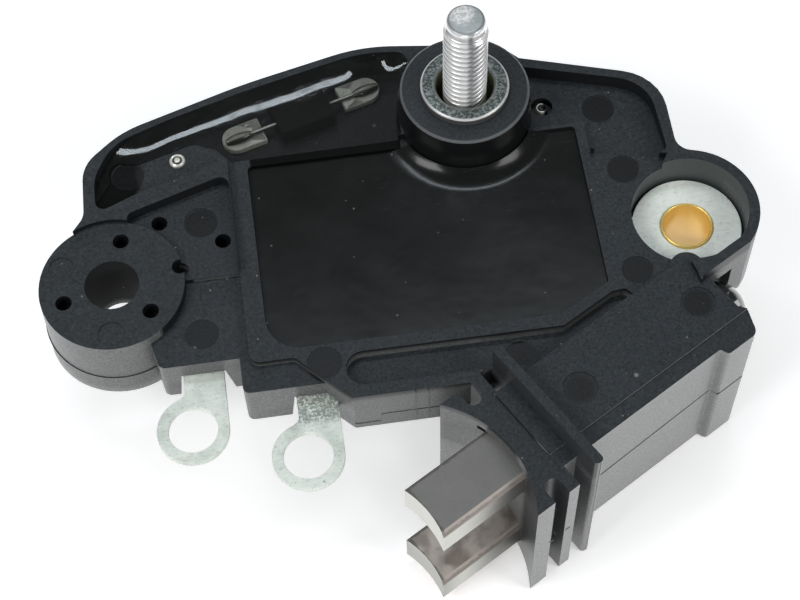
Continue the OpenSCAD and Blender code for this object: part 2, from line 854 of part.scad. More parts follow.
// Pad with a round outer end, on the left for s = -1 and on the right for s = 1
module pad_shape(s, gap = 0) {
    x0 = cap_l / 2 + pad_gap - gap;
    x1 = x0 + pad_l - pad_w / 2 + gap;
    capacitor_frame()
        mirror([s < 0 ? 1 : 0, 0, 0])
            translate([0, 0.5, channel_floor_z + fit - gap]) {
                brick([x0, -pad_w / 2 - gap, 0], [x1, pad_w / 2 + gap, sheet_t + gap]);
                translate([x1, 0, 0]) cylinder(r = pad_w / 2 + gap, h = sheet_t + gap * 2);
            }
}

// Straight lead from the capacitor's end to the solder on the pad
module lead_shape(s, gap = 0) {
    capacitor_frame()
        mirror([s < 0 ? 1 : 0, 0, 0])
            translate([cap_l / 2, 0, lead_z])
                rotate([0, 90, 0])
                    cylinder(r = lead_d / 2 + gap, h = solder_x - cap_l / 2, $fn = 24);
}

// Spindle of solder around the lead's end, flat where it wets the pad
module solder_shape(s, gap = 0) {
    tip = lead_d / 2 + 0.08;
    rise = solder_r - tip;
    half = solder_l / 2;
    bow = (half * half + rise * rise) / (2 * rise);
    capacitor_frame()
        mirror([s < 0 ? 1 : 0, 0, 0])
            intersection() {
                translate([solder_x + half, 0, lead_z])
                    rotate([0, 90, 0])
                        rotate_extrude($fn = 32)
                            polygon(concat(
                                [[0, -half - gap], [tip + gap, -half - gap]],
                                arc([solder_r + gap - bow, 0], bow, -asin(half / bow), asin(half / bow), 16),
                                [[tip + gap, half + gap], [0, half + gap]]
                            ));
                brick([solder_x - 1, -2, pad_z + fit * 2 - gap], [solder_x + solder_l + 1, 2, pad_z + 3]);
            }
}

module capacitor() {
    color("#242423") capacitor_shape();
}

module left_pad() {
    color(tinned) pad_shape(-1);
}

module right_pad() {
    color(tinned) pad_shape(1);
}

module lead(s) {
    color("#b9bdb6") lead_shape(s);
}

module left_lead() {
    lead(-1);
}

module right_lead() {
    lead(1);
}

module left_solder() {
    color("#8f948c") solder_shape(-1);
}

module right_solder() {
    color("#8f948c") solder_shape(1);
}

module left_pin() {
    color(tinned) post(shelf_pin_x, shelf_pin_y, shelf_pin_r, shelf_z - 3, shelf_z + 0.4);
}

module right_pin() {
    color(tinned) post(pocket_pin_x, pocket_pin_y, pocket_pin_r, pocket_floor_z - 4, pocket_floor_z - 0.2);
}

// Carbon brush with a hollow tip and one chamfered edge, its top face at a level
module brush(z_top) {
    w = brush_w / 2;
    cx = brush_tip_x - sqrt(tip_r * tip_r - w * w);
    color("#5d5a55")
        brush_frame()
            difference() {
                translate([brush_tip_x, 0, z_top])
                    rotate([90, 0, 90])
                        linear_extrude(brush_l)
                            polygon([
                                [-w, -brush_t],
                                [w, -brush_t],
                                [w, 0],
                                [-w + brush_chamfer, 0],
                                [-w, -brush_chamfer]
                            ]);
                translate([cx, 0, z_top - brush_t - over]) cylinder(r = tip_r, h = brush_t + 2 * over);
                translate([brush_x1 - 4, 0, z_top - brush_t / 2])
                    rotate([0, 90, 0]) cylinder(r = pigtail_d / 2 + fit, h = 4 + over, $fn = 24);
            }
}

module upper_brush() {
    brush(upper_brush_z);
}

module lower_brush() {
    brush(upper_brush_z - brush_pitch);
}

// Coil spring between a brush and its terminal, as a sweep of a round wire
module spring(z_top) {
    sides = 6;
    steps = 12 * spring_turns;
    x0 = brush_x1 + spring_wire_d / 2 + fit;
    run = spring_x1 - spring_wire_d / 2 - fit - x0;
    points = [for (i = [0:steps]) let (a = 360 * spring_turns * i / steps, x = x0 + run * i / steps)
        for (j = [0:sides - 1]) let (b = 360 * j / sides, r = spring_r + spring_wire_d / 2 * cos(b))
            [x + spring_wire_d / 2 * sin(b), r * cos(a), r * sin(a)]];
    walls = [for (i = [0:steps - 1]) for (j = [0:sides - 1])
        let (a = i * sides + j, b = i * sides + (j + 1) % sides)
            [a, b, b + sides, a + sides]];
    ends = [[for (j = [sides - 1:-1:0]) j], [for (j = [0:sides - 1]) steps * sides + j]];
    color("#a9adab")
        brush_frame()
            translate([0, 0, z_top - brush_t / 2])
                polyhedron(points, concat(walls, ends));
}

module upper_spring() {
    spring(upper_brush_z);
}

module lower_spring() {
    spring(upper_brush_z - brush_pitch);
}

// Copper braid from the brush through the spring to the terminal
module pigtail(z_top) {
    color("#b5673a")
        brush_frame()
            translate([brush_x1 - 4, 0, z_top - brush_t / 2])
                rotate([0, 90, 0]) cylinder(r = pigtail_d / 2, h = spring_x1 - brush_x1 + 4 - fit, $fn = 24);
}

module upper_pigtail() {
    pigtail(upper_brush_z);
}

module lower_pigtail() {
    pigtail(upper_brush_z - brush_pitch);
}

// Flat terminal against the rear wall of a chamber
module brush_terminal(z_top) {
    color(tinned)
        brush_frame()
            brick(
                [spring_x1, -brush_w / 2 + 0.5, z_top - brush_t + 0.2],
                [chamber_x1, brush_w / 2 - 0.5, z_top - 0.2]
            );
}

module upper_terminal() {
    brush_terminal(upper_brush_z);
}

module lower_terminal() {
    brush_terminal(upper_brush_z - brush_pitch);
}

// Domed plug in the rear end of the box
module rear_plug() {
    dome = plug_r * 1.15;
    color("#3a3c3d")
        brush_frame()
            translate([box_x1 - plug_seat, 0, plug_z])
                rotate([0, 90, 0])
                    intersection() {
                        cylinder(r = plug_r, h = plug_reach + plug_seat);
                        translate([0, 0, plug_reach + plug_seat - dome]) sphere(r = dome, $fn = 64);
                    }
}

module heat_sink() {
    color("#a7abaa") slab(cavity_outline(1.2), base_z, base_z + sink_t);
}

module circuit_board() {
    color("#e6e2d6") slab(cavity_outline(3.4), base_z + sink_t, base_z + sink_t + board_t);
}

board_top_z = base_z + sink_t + board_t;
function control_chip_box() = [[30, -2], [38, 5], 1.4];
function power_chip_box() = [[44, -7], [53, 1], 2.2];

module chip_shape(c, gap = 0) {
    brick([c[0][0] - gap, c[0][1] - gap, board_top_z - gap],
        [c[1][0] + gap, c[1][1] + gap, board_top_z + c[2] + gap]);
}

module control_chip() {
    color("#202224") chip_shape(control_chip_box());
}

module power_chip() {
    color("#28292b") chip_shape(power_chip_box());
}

housing();
cavity_resin();
channel_resin();
terminal_stud();
stud_sleeve();
output_strip();
ground_plate();
ear_bush();
left_lug();
right_lug();
left_pad();
right_pad();
capacitor();
left_lead();
right_lead();
left_solder();
right_solder();
left_pin();
right_pin();
upper_brush();
lower_brush();
upper_spring();
lower_spring();
upper_pigtail();
lower_pigtail();
upper_terminal();
lower_terminal();
rear_plug();
heat_sink();
circuit_board();
control_chip();
power_chip();
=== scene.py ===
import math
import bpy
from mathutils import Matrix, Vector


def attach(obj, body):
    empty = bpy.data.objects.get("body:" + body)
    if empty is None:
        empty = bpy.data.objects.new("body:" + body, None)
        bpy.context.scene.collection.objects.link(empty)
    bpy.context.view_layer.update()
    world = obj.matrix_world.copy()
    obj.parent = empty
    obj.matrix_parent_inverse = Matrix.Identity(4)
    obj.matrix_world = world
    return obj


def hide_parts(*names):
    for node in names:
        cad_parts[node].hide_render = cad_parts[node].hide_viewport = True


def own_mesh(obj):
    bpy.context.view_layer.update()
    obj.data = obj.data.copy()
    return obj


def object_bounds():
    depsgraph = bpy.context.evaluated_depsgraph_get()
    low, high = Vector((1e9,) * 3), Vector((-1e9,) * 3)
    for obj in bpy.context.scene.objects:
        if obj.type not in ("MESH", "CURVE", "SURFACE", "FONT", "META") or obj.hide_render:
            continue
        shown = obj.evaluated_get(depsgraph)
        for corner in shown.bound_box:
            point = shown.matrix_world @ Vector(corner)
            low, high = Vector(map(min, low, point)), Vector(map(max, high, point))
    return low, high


bl_info = {
    "name": "Alternator voltage regulator",
    "version": (1, 0, 0),
    "blender": (4, 5, 0),
    "location": "View3D > Sidebar > Regulator",
    "description": "Dresses the packed regulator with its detailed pieces and finishes",
    "category": "Object",
}

import bmesh
import bpy
from mathutils import Matrix, Vector, noise

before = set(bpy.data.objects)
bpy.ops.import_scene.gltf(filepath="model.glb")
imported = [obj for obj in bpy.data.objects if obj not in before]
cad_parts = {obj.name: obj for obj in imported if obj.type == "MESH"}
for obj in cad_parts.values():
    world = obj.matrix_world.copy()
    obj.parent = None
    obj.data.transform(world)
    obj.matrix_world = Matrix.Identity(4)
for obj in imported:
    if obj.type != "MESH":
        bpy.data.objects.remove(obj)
CAD_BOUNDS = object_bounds()

MM = 0.001

# Places and lengths in millimetres
LEFT_EAR, RIGHT_EAR = (0, 0), (78, 0)
STUD = (50.45, 20.6)
LEFT_PIN, RIGHT_PIN = (10.15, 18.7), (61.5, 20.8)
BRUSH_OFFSET = 50.4
BRUSH_TRAVEL = 12
BRUSH_ANGLE = math.radians(30)
ALONG = Vector((math.cos(BRUSH_ANGLE), math.sin(BRUSH_ANGLE), 0))


def holder_point(u, w, z):
    """A point given along the brushes, across them and up, in millimetres."""
    c, s = math.cos(BRUSH_ANGLE), math.sin(BRUSH_ANGLE)
    v = BRUSH_OFFSET - w
    return Vector((u * c + v * s, u * s - v * c, z)) * MM


# ---------------------------------------------------------------- node trees


class Sock:
    """A socket that takes part in Python arithmetic by adding Math nodes."""

    def __init__(self, tree, socket):
        self.tree, self.socket = tree, socket

    def math(self, operation, *others):
        return self.tree.math(operation, self, *others)

    def __add__(self, other):
        return self.math("ADD", other)

    def __sub__(self, other):
        return self.math("SUBTRACT", other)

    def __mul__(self, other):
        return self.math("MULTIPLY", other)

    def __truediv__(self, other):
        return self.math("DIVIDE", other)

    def __pow__(self, other):
        return self.math("POWER", other)

    def __rsub__(self, other):
        return self.tree.math("SUBTRACT", other, self)

    def __neg__(self):
        return self.math("MULTIPLY", -1.0)

    def __abs__(self):
        return self.math("ABSOLUTE")

    __radd__ = __add__
    __rmul__ = __mul__


class Tree:
    """Adds nodes to a shader or geometry tree."""

    def __init__(self, tree):
        self.tree = tree
        self.tree.nodes.clear()

    def put(self, socket, value):
        """Links a socket or sets its value. A colour may come without its alpha."""
        if isinstance(value, Sock):
            self.tree.links.new(value.socket, socket)
        elif hasattr(value, "outputs"):
            self.tree.links.new(value.outputs[0], socket)
        elif socket.type == "RGBA" and len(value) == 3:
            socket.default_value = (*value, 1)
        else:
            socket.default_value = value

    def node(self, kind, settings=None, inputs=None):
        """Any node: its settings first, then the values or links of its sockets."""
        made = self.tree.nodes.new(kind)
        for name, value in (settings or {}).items():
            setattr(made, name, value)
        for key, value in (inputs or {}).items():
            self.put(made.inputs[key], value)
        return made

    def out(self, made, name=0):
        return Sock(self, made.outputs[name])

    def math(self, operation, *values):
        made = self.node("ShaderNodeMath", {"operation": operation})
        for socket, value in zip(made.inputs, values):
            self.put(socket, value)
        return self.out(made)

    def step(self, value, low, high):
        """0 below low, 1 above high, smooth in between."""
        made = self.node(
            "ShaderNodeMapRange",
            {"interpolation_type": "SMOOTHSTEP"},
            {"Value": value, "From Min": low, "From Max": high},
        )
        return self.out(made)

    def split(self, vector):
        made = self.node("ShaderNodeSeparateXYZ", None, {0: vector})
        return [self.out(made, k) for k in range(3)]

    def join(self, x, y, z):
        return self.out(self.node("ShaderNodeCombineXYZ", None, {0: x, 1: y, 2: z}))


class Finish(Tree):
    """A material under construction."""

    def __init__(self, name):
        self.material = bpy.data.materials.new(name)
        self.material.use_nodes = True
        super().__init__(self.material.node_tree)
        self.place = self.out(self.node("ShaderNodeTexCoord"), "Object")
        self.x, self.y, self.z = [k * 1000 for k in self.split(self.place)]
        normal = self.out(self.node("ShaderNodeNewGeometry"), "Normal")
        self.facing = self.split(normal)
        self.upward = self.step(self.facing[2], 0.5, 0.85)
        self.upright = 1 - self.step(abs(self.facing[2]), 0.35, 0.7)

    def around(self, x, y, inner, outer):
        """1 within the inner radius of an upright axis, 0 beyond the outer one."""
        dx, dy = self.x - x, self.y - y
        return 1 - self.step((dx * dx + dy * dy) ** 0.5, inner, outer)

    def between(self, value, low, high, soft=0.2):
        """1 between two limits, with soft ends."""
        below = 1 - self.step(value, high - soft, high + soft)
        return self.step(value, low - soft, low + soft) * below

    def brush_axes(self):
        """Distances along and across the brushes, in millimetres."""
        along = self.x * ALONG.x + self.y * ALONG.y
        across = self.x * math.sin(BRUSH_ANGLE) - self.y * math.cos(BRUSH_ANGLE)
        return along, across

    def turned(self, angle, scale):
        """Object coordinates, turned about Z and scaled."""
        return self.out(self.node(
            "ShaderNodeMapping",
            None,
            {"Vector": self.place, "Rotation": (0, 0, -angle), "Scale": scale},
        ))

    def noise(self, size_mm, detail=2.0, at=None, rough=0.5):
        """Noise with features of about that size, from 0 to 1."""
        return self.out(self.node(
            "ShaderNodeTexNoise",
            None,
            {
                "Vector": at or self.place,
                "Scale": 1000.0 / size_mm,
                "Detail": detail,
                "Roughness": rough,
            },
        ))

    def specks(self, size_mm, share):
        """Small round specks, one in some cells of a cellular pattern."""
        cells = self.node(
            "ShaderNodeTexVoronoi", None, {"Vector": self.place, "Scale": 1000.0 / size_mm}
        )
        near = 1 - self.step(self.out(cells, "Distance"), 0.10, 0.22)
        chosen = self.split(self.out(cells, "Color"))[0]
        return near * self.step(chosen, 1 - share, 1 - share * 0.6)

    def scratches(self, angle, width_mm, length_mm, share=0.3):
        """Fine straight marks in one direction, from 0 to 1."""
        at = self.turned(angle, (width_mm / length_mm, 1, 1))
        return self.step(self.noise(width_mm, 1.0, at), 0.72 - share * 0.3, 0.78)

    def mix(self, factor, first, second):
        """The first colour where the factor is 0, the second where it is 1."""
        made = self.node(
            "ShaderNodeMix", {"data_type": "RGBA"}, {0: factor, 6: first, 7: second}
        )
        return self.out(made, 2)

    def layers(self, colour, *layers):
        """A colour with others laid over it, each given by its factor and its colour."""
        for factor, over in layers:
            colour = self.mix(factor, colour, over)
        return colour

    def bump(self, height, depth_mm, below=None):
        """Normal of a surface with that relief; depth is in millimetres."""
        inputs = {"Strength": 1.0, "Distance": depth_mm * MM, "Height": height}
        if below is not None:
            inputs["Normal"] = below
        return self.out(self.node("ShaderNodeBump", None, inputs))

    def done(self, **inputs):
        """The shader itself. Keyword names are its sockets, with _ for blanks."""
        inputs = {name.replace("_", " "): value for name, value in inputs.items()}
        shader = self.node("ShaderNodeBsdfPrincipled", None, inputs)
        self.node("ShaderNodeOutputMaterial", None, {"Surface": shader})
        return self.material


# ---------------------------------------------------------------- finishes


# Ejector marks that look filled in: place, radius, strength and softness of the edge
FILLED_MARKS = (
    (12.5, 8.5, 2.2, 0.9, 0.1), (11.1, -8.2, 2.2, 0.8, 0.1), (26.6, -15.4, 2.2, 0.9, 0.1),
    (3.2, 17.3, 2.2, 0.9, 0.1), (69.2, 19.3, 2.2, 0.9, 0.1), (70.5, 8.2, 2.1, 0.9, 0.1),
    (69.3, -7.7, 2.0, 0.9, 0.1), (52.1, -17.2, 2.2, 0.9, 0.1), (58.6, -24.0, 1.9, 1.0, 0.7),
    (76.1, -13.9, 2.0, 0.9, 0.4),
)
TOOL_HOLES = ((6.9, 9.2), (15.2, 5.2), RIGHT_PIN)

# Creases in the channel's resin: x and half the width of each group, and the slope and
# start of the line in the plan that they cross
CREASES = ((18.4, 0.25), (22.4, 0.3), (29.2, 1.2), (32.0, 0.3))
CREASED_SLOPE, CREASED_START = 0.267, 19.69


def moulded_black():
    """Spark-textured top faces and smooth walls. Painted sheen makes the low outer walls paler,
    painted shade and shadow darken a few sunken places, and painted highlights run along edges.
    """
    t = Finish("moulded_black")
    grain = t.noise(0.40, 3.0, rough=0.65)
    wall = t.upright
    along, across = t.brush_axes()
    boss = t.around(*STUD, 10.2, 11.0)

    # Painted sheen on outer walls: the low ones and the left ear's, without inner faces of rims
    # and holes
    painted_sheen_walls = (1 - t.step(t.z, 9.4, 10.8)).math("MAXIMUM", t.around(*LEFT_EAR, 10.3, 10.6))
    painted_sheen_walls = painted_sheen_walls * (1 - t.around(*LEFT_EAR, 9.25, 9.45))
    painted_sheen_walls = painted_sheen_walls * (1 - t.step(t.y, 4.5, 5.5) * (1 - t.step(t.facing[1], -0.1, 0.1)))
    inland = t.step(t.x * 0.94 + t.y * 0.34, 2.6, 3.4) * t.around(*LEFT_EAR, 10.6, 11.0)
    painted_sheen_walls = painted_sheen_walls * (1 - inland * t.step(t.z, 9.70, 9.82))
    for hole in TOOL_HOLES:
        painted_sheen_walls = painted_sheen_walls * (1 - t.around(*hole, 1.6, 1.8))

    # Walls with painted light of their own: painted sheen on the brush box, the lowest walls,
    # the right ear's sunk wall and a slot, painted shade in a small dip and painted shadow in a
    # gap and on a concave face
    # Painted sheen: the brush box's side and the walls below 1.6 mm are paler
    holder = t.step(across, 51.5, 53.0).math("MAXIMUM", 1 - t.step(t.z, 0.0, 1.6))
    # Painted sheen on the wall of the right ear's sunk ring
    painted_recess_sheen = t.around(*RIGHT_EAR, 8.2, 8.4) * t.step(t.z, 6.0, 6.4)
    bore = t.around(*LEFT_EAR, 4.3, 4.6) * wall
    # Painted shade in a small round dip on the brush box
    painted_groove_shade = t.around(52.77, -36.9, 1.4, 1.7)
    # Painted light on the walls of a deep narrow slot, where shade falls
    slot = t.around(48.0, -20.8, 2.3, 2.7)
    front = t.step(-(t.facing[0] * ALONG.x + t.facing[1] * ALONG.y), 0.25, 0.6)
    # Painted shadow on the faces in the gap before the box's front plate, darkest towards the
    # top
    painted_flange_shadow = front * t.between(along, 30.8, 34.0) * t.step(across, 36.0, 37.0)
    # Painted shadow of the brushes on the concave face beside them
    painted_hollow_shadow = front * (1 - t.step(along, 30.6, 31.0)) * t.step(across, 53.6, 55.2)

    # Edges wetted by resin: before the channel, and at the shelf's left end
    wet = t.between(t.x, 20.0, 41.0) * t.between(t.y, 15.9, 17.7)
    wet = wet * (1 - t.step(t.z, 11.1, 11.3))
    end = t.between(t.z, 10.55, 10.8, 0.02) * (1 - t.step(t.x + t.noise(2.0) * 1.5, 4.6, 6.2))
    wet = wet.math("MAXIMUM", end * t.upward)

    marks = 0.0
    for x, y, radius, strength, soft in FILLED_MARKS:
        marks = t.around(x, y, radius - soft, radius + soft) * strength + marks
    marks = marks * t.upward

    top = t.layers(
        t.mix(t.noise(8.0, 3.0), (0.0210, 0.0255, 0.0288), (0.0305, 0.0365, 0.0410)),
        (1 - t.step(grain, 0.30, 0.52), (0.012, 0.0145, 0.017)),
        (t.step(grain, 0.52, 0.74) * 0.42, (0.075, 0.082, 0.086)),
        (marks, (0.0030, 0.0033, 0.0036)),
    )
    # Grain of the painted sheen on the outer walls
    coarse = t.step(t.noise(0.28, 2.0, rough=0.7), 0.34, 0.66)
    painted_sheen_grain = t.mix(coarse, (0.05, 0.053, 0.053), (0.30, 0.305, 0.30))
    # Wall colour: black, with painted sheen, painted shade and painted shadow laid over it
    side = t.layers(
        t.mix(painted_sheen_walls, (0.011, 0.012, 0.013), (0.118, 0.121, 0.121)),
        (holder, (0.235, 0.238, 0.235)),
        (painted_recess_sheen, (0.070, 0.080, 0.081)),
        (boss, (0.0085, 0.009, 0.0095)),
        (painted_groove_shade, (0.03, 0.032, 0.034)),
        (slot, (0.34, 0.345, 0.34)),
        (painted_hollow_shadow * 0.95, (0.022, 0.024, 0.026)),
        (painted_flange_shadow * t.step(t.z, -9.0, 8.0), (0.034, 0.037, 0.040)),
        (painted_sheen_walls * 0.30 * (1 - boss) * (1 - painted_hollow_shadow), painted_sheen_grain),
    )
    # Painted highlight: a pale line along the edges between top faces and walls, not on the
    # boss's wall
    edge = t.between(t.facing[2], 0.25, 0.965, 0.02) * (1 - boss * wall)
    # Painted highlight: a thin pale ring on the boss's top edge
    painted_crown_highlight = t.around(*STUD, 8.86, 8.92) * (1 - t.around(*STUD, 8.5, 8.56))
    dust = t.specks(0.8, 0.035) + t.specks(2.0, 0.02)
    colour = t.layers(
        t.mix(wall, top, side),
        (edge * 0.6, (0.13, 0.136, 0.14)),
        (painted_crown_highlight * t.step(t.z, 16.5, 16.6) * 0.07, (0.40, 0.41, 0.41)),
        (wet, (0.004, 0.0042, 0.004)),
        (dust * 0.5 * (1 - boss), (0.34, 0.35, 0.34)),
    )
    rough = 0.42 + bore * 0.4 + grain * 0.16
    rough = rough - wall * 0.10 - boss * wall * 0.18 - wet * 0.36 - marks * 0.10
    smooth = (wall + marks * 0.6 + wet).math("MINIMUM", 1.0)
    return t.done(
        Base_Color=colour,
        Roughness=rough,
        Specular_IOR_Level=0.28,
        Normal=t.bump(grain * (1 - smooth * 0.85), 0.06),
    )


def potting_resin():
    """Glossy dark potting resin with faint waves, specks and hairline marks."""
    t = Finish("potting_resin")
    cloud = t.noise(6.0, 3.0)
    marks = t.scratches(0.5, 0.14, 2.5, 0.1) * t.around(*STUD, 14, 22)
    dust = t.specks(0.9, 0.04) + t.specks(2.4, 0.03)
    colour = t.mix(cloud, (0.0055, 0.0060, 0.0056), (0.0095, 0.0102, 0.0095))
    return t.done(
        Base_Color=t.mix(dust * 0.45 + marks * 0.1, colour, (0.24, 0.25, 0.23)),
        Roughness=0.17 + cloud * 0.1 + dust * 0.3,
        Specular_IOR_Level=0.25,
        Coat_Weight=0.12,
        Coat_Roughness=0.08,
        Normal=t.bump(t.noise(5.0, 2.0), 0.04),
    )


def clear_resin():
    """Clear casting resin: what lies in it shows through, its skin is glossy."""
    t = Finish("clear_resin")
    haze = t.noise(2.4, 3.0)
    bubbles = t.specks(1.3, 0.10) + t.specks(0.6, 0.06)
    creases = 0.0
    for x, half in CREASES:
        creases = (1 - t.step(abs(t.x - x), half, half + 0.4)) + creases
    beside = abs(t.y - t.x * CREASED_SLOPE - CREASED_START)
    creases = creases * (1 - t.step(beside, 0.8, 1.2)) * t.scratches(1.83, 0.10, 4.0, 0.9)
    return t.done(
        Base_Color=t.mix(haze, (0.006, 0.007, 0.006), (0.016, 0.017, 0.015)),
        Roughness=0.05 + haze * 0.05,
        Specular_IOR_Level=1.0,
        Coat_Weight=1.0,
        Coat_Roughness=0.03,
        Coat_IOR=1.9,
        Alpha=0.27 + bubbles * 0.25,
        Normal=t.bump(creases, 0.008, t.bump(t.noise(1.8, 1.0), 0.02)),
    )


def plated(name, pale, dark, rough=0.34, metal=1.0, speck=0.08, scuffed_and_painted_shade=None):
    """Plated sheet with specks and fine scratches. Where x and y are above two values in
    millimetres, it can be darkened by painted shade broken up by wear."""
    t = Finish(name)
    cloud = t.noise(2.6, 4.0)
    fine = t.noise(0.22, 2.0)
    marks = t.scratches(0.6, 0.09, 3.0) + t.scratches(-1.0, 0.08, 2.4)
    spots = t.specks(0.5, speck) + t.specks(1.3, speck * 0.6)
    dull = t.step(t.noise(0.5, 4.0, rough=0.7), 0.52, 0.70)
    hair = t.scratches(0.9, 0.13, 1.8, 0.5) + t.scratches(-0.5, 0.12, 1.5, 0.5)
    colour = t.layers(
        t.mix(t.step(cloud, 0.35, 0.75), pale, dark),
        (dull * 0.30 + hair * 0.25, tuple(c * 0.42 for c in dark)),
        (marks * 0.35, tuple(min(1.0, c * 1.2) for c in pale)),
        (spots * 0.6, tuple(c * 0.3 for c in dark)),
    )
    if scuffed_and_painted_shade:
        x, y = scuffed_and_painted_shade
        # Painted shade near the moulding's wall, broken up by wear: darker where x and y are
        # above the given values
        painted_shade_zone = t.step(t.x, x, x + 0.4) * t.step(t.y + cloud * 1.6, y, y + 1.4)
        worn = t.step(t.noise(0.34, 3.0, rough=0.7), 0.36, 0.56)
        colour = t.mix(painted_shade_zone * worn * 0.8, colour, (0.16, 0.19, 0.165))
    return t.done(
        Base_Color=colour,
        Metallic=metal,
        Roughness=rough + fine * 0.14 - marks * 0.06,
        Normal=t.bump(fine + marks * 0.6, 0.008),
    )


def pin_metal():
    """Tinned pin ends: one keeps a dark engraved ring, the other is a cup painted dark as
    shade, with a painted highlight crescent on its left rim.
    """
    t = Finish("tinned_pin")
    cloud = t.noise(0.5, 2.0)
    ring = t.around(*LEFT_PIN, 0.66, 0.72) * (1 - t.around(*LEFT_PIN, 0.36, 0.44))
    rim = 1 - t.around(*LEFT_PIN, 0.98, 1.06)
    # Painted shade: the right pin's cup is dark except a painted lit crescent on its left rim
    right = t.step(t.x, 40, 41)
    lit = (1 - t.around(*RIGHT_PIN, 0.56, 0.64)) * t.step(61.9 - t.x, 0.0, 0.3)
    colour = t.layers(
        t.mix(cloud, (0.88, 0.88, 0.82), (0.60, 0.60, 0.54)),
        (ring.math("MAXIMUM", rim * (1 - right) * 0.6), (0.07, 0.07, 0.06)),
        (right * (1 - lit), (0.03, 0.03, 0.028)),
    )
    return t.done(Base_Color=colour, Metallic=0.3, Roughness=0.28 + cloud * 0.12)


def zinc_sleeve():
    """Dull plated ring, speckled, with a painted highlight on its outer edge, painted shade on
    its upright walls, a paler ring at the hole and a stained hole.
    """
    t = Finish("dull_zinc")
    speck = t.noise(0.35, 3.0, rough=0.7)
    hole = t.around(*STUD, 4.05, 4.15) * (1 - t.step(t.z, 17.3, 17.7))
    colour = t.layers(
        t.mix(t.step(speck, 0.44, 0.60), (0.060, 0.072, 0.068), (0.27, 0.30, 0.29)),
        # Painted highlight on the outer edge
        ((1 - t.around(*STUD, 5.72, 5.9)) * 0.7, (0.85, 0.87, 0.85)),
        # Painted shade on the upright walls
        (t.upright * 0.9, (0.060, 0.052, 0.052)),
        (t.around(*STUD, 4.25, 4.6) * 0.6, (0.34, 0.37, 0.34)),
        (hole, (0.16, 0.16, 0.08)),
    )
    return t.done(
        Base_Color=colour,
        Metallic=0.5 - hole * 0.3,
        Roughness=0.34 + speck * 0.15,
        Normal=t.bump(speck, 0.012),
    )


def turned_steel():
    """Zinc plated thread and turned tip. The flat tip keeps its saw marks and has a painted
    highlight in its middle. Painted shade darkens the thread's roots, and painted dark
    reflections make a stripe down the front that breaks up the bright flanks and darken their
    left and right edges."""
    t = Finish("turned_steel")
    top = t.step(t.z, 31.98, 32.06)
    saw = t.noise(0.2, 2.0, t.turned(0.75, (0.05, 1, 1)))
    dirt = t.step(t.noise(1.4, 4.0), 0.56, 0.80)
    mottle = t.step(t.noise(0.45, 3.0), 0.40, 0.62)
    # Painted shade: the thread's roots are a little darker than its crests
    crests = 1 - t.around(*STUD, 2.5, 2.75)
    # Painted dark reflections by facing: a stripe down the front and the left and right edges
    stripe = 1 - t.step(abs(t.facing[0] - 0.08), 0.03, 0.20)
    shade = stripe * 0.72 + t.step(abs(t.facing[0]), 0.84, 0.97) * 0.4
    around = t.layers(
        t.mix(crests, (0.86, 0.88, 0.88), (1.0, 1.0, 1.0)),
        (shade * (1 - top), (0.13, 0.15, 0.16)),
        (dirt * 0.3, (0.40, 0.39, 0.36)),
    )
    # Painted highlight in the middle of the flat tip, darker towards its rim
    middle = t.around(STUD[0] - 0.5, STUD[1] + 0.9, 0.9, 2.3)
    face = t.layers(
        t.mix(middle, (0.42, 0.46, 0.46), (1.0, 1.0, 1.0)),
        (mottle * 0.55, (0.34, 0.37, 0.37)),
        (t.step(saw, 0.5, 0.66) * 0.35, (0.20, 0.22, 0.22)),
        ((1 - t.around(*STUD, 2.08, 2.26)) * 0.7, (0.16, 0.17, 0.17)),
    )
    return t.done(
        Base_Color=t.mix(top, around, face),
        Metallic=0.30 - top * 0.20,
        Roughness=0.20 + dirt * 0.15 + top * 0.10,
        Coat_Weight=0.6,
        Coat_Roughness=0.12,
        Normal=t.bump(saw * top, 0.03),
    )


def bright_brass():
    """Polished brass, less metallic in the bush's bore."""
    t = Finish("bright_brass")
    cloud = t.noise(1.2, 3.0)
    bore = t.around(*RIGHT_EAR, 3.24, 3.3) * t.upright
    colour = t.mix(cloud, (1.0, 0.76, 0.25), (0.88, 0.62, 0.18))
    return t.done(
        Base_Color=t.mix(bore, colour, (1.0, 0.72, 0.20)),
        Metallic=0.6 - bore * 0.30,
        Roughness=0.24 + cloud * 0.16,
        Normal=t.bump(t.noise(0.2, 2.0), 0.006),
    )


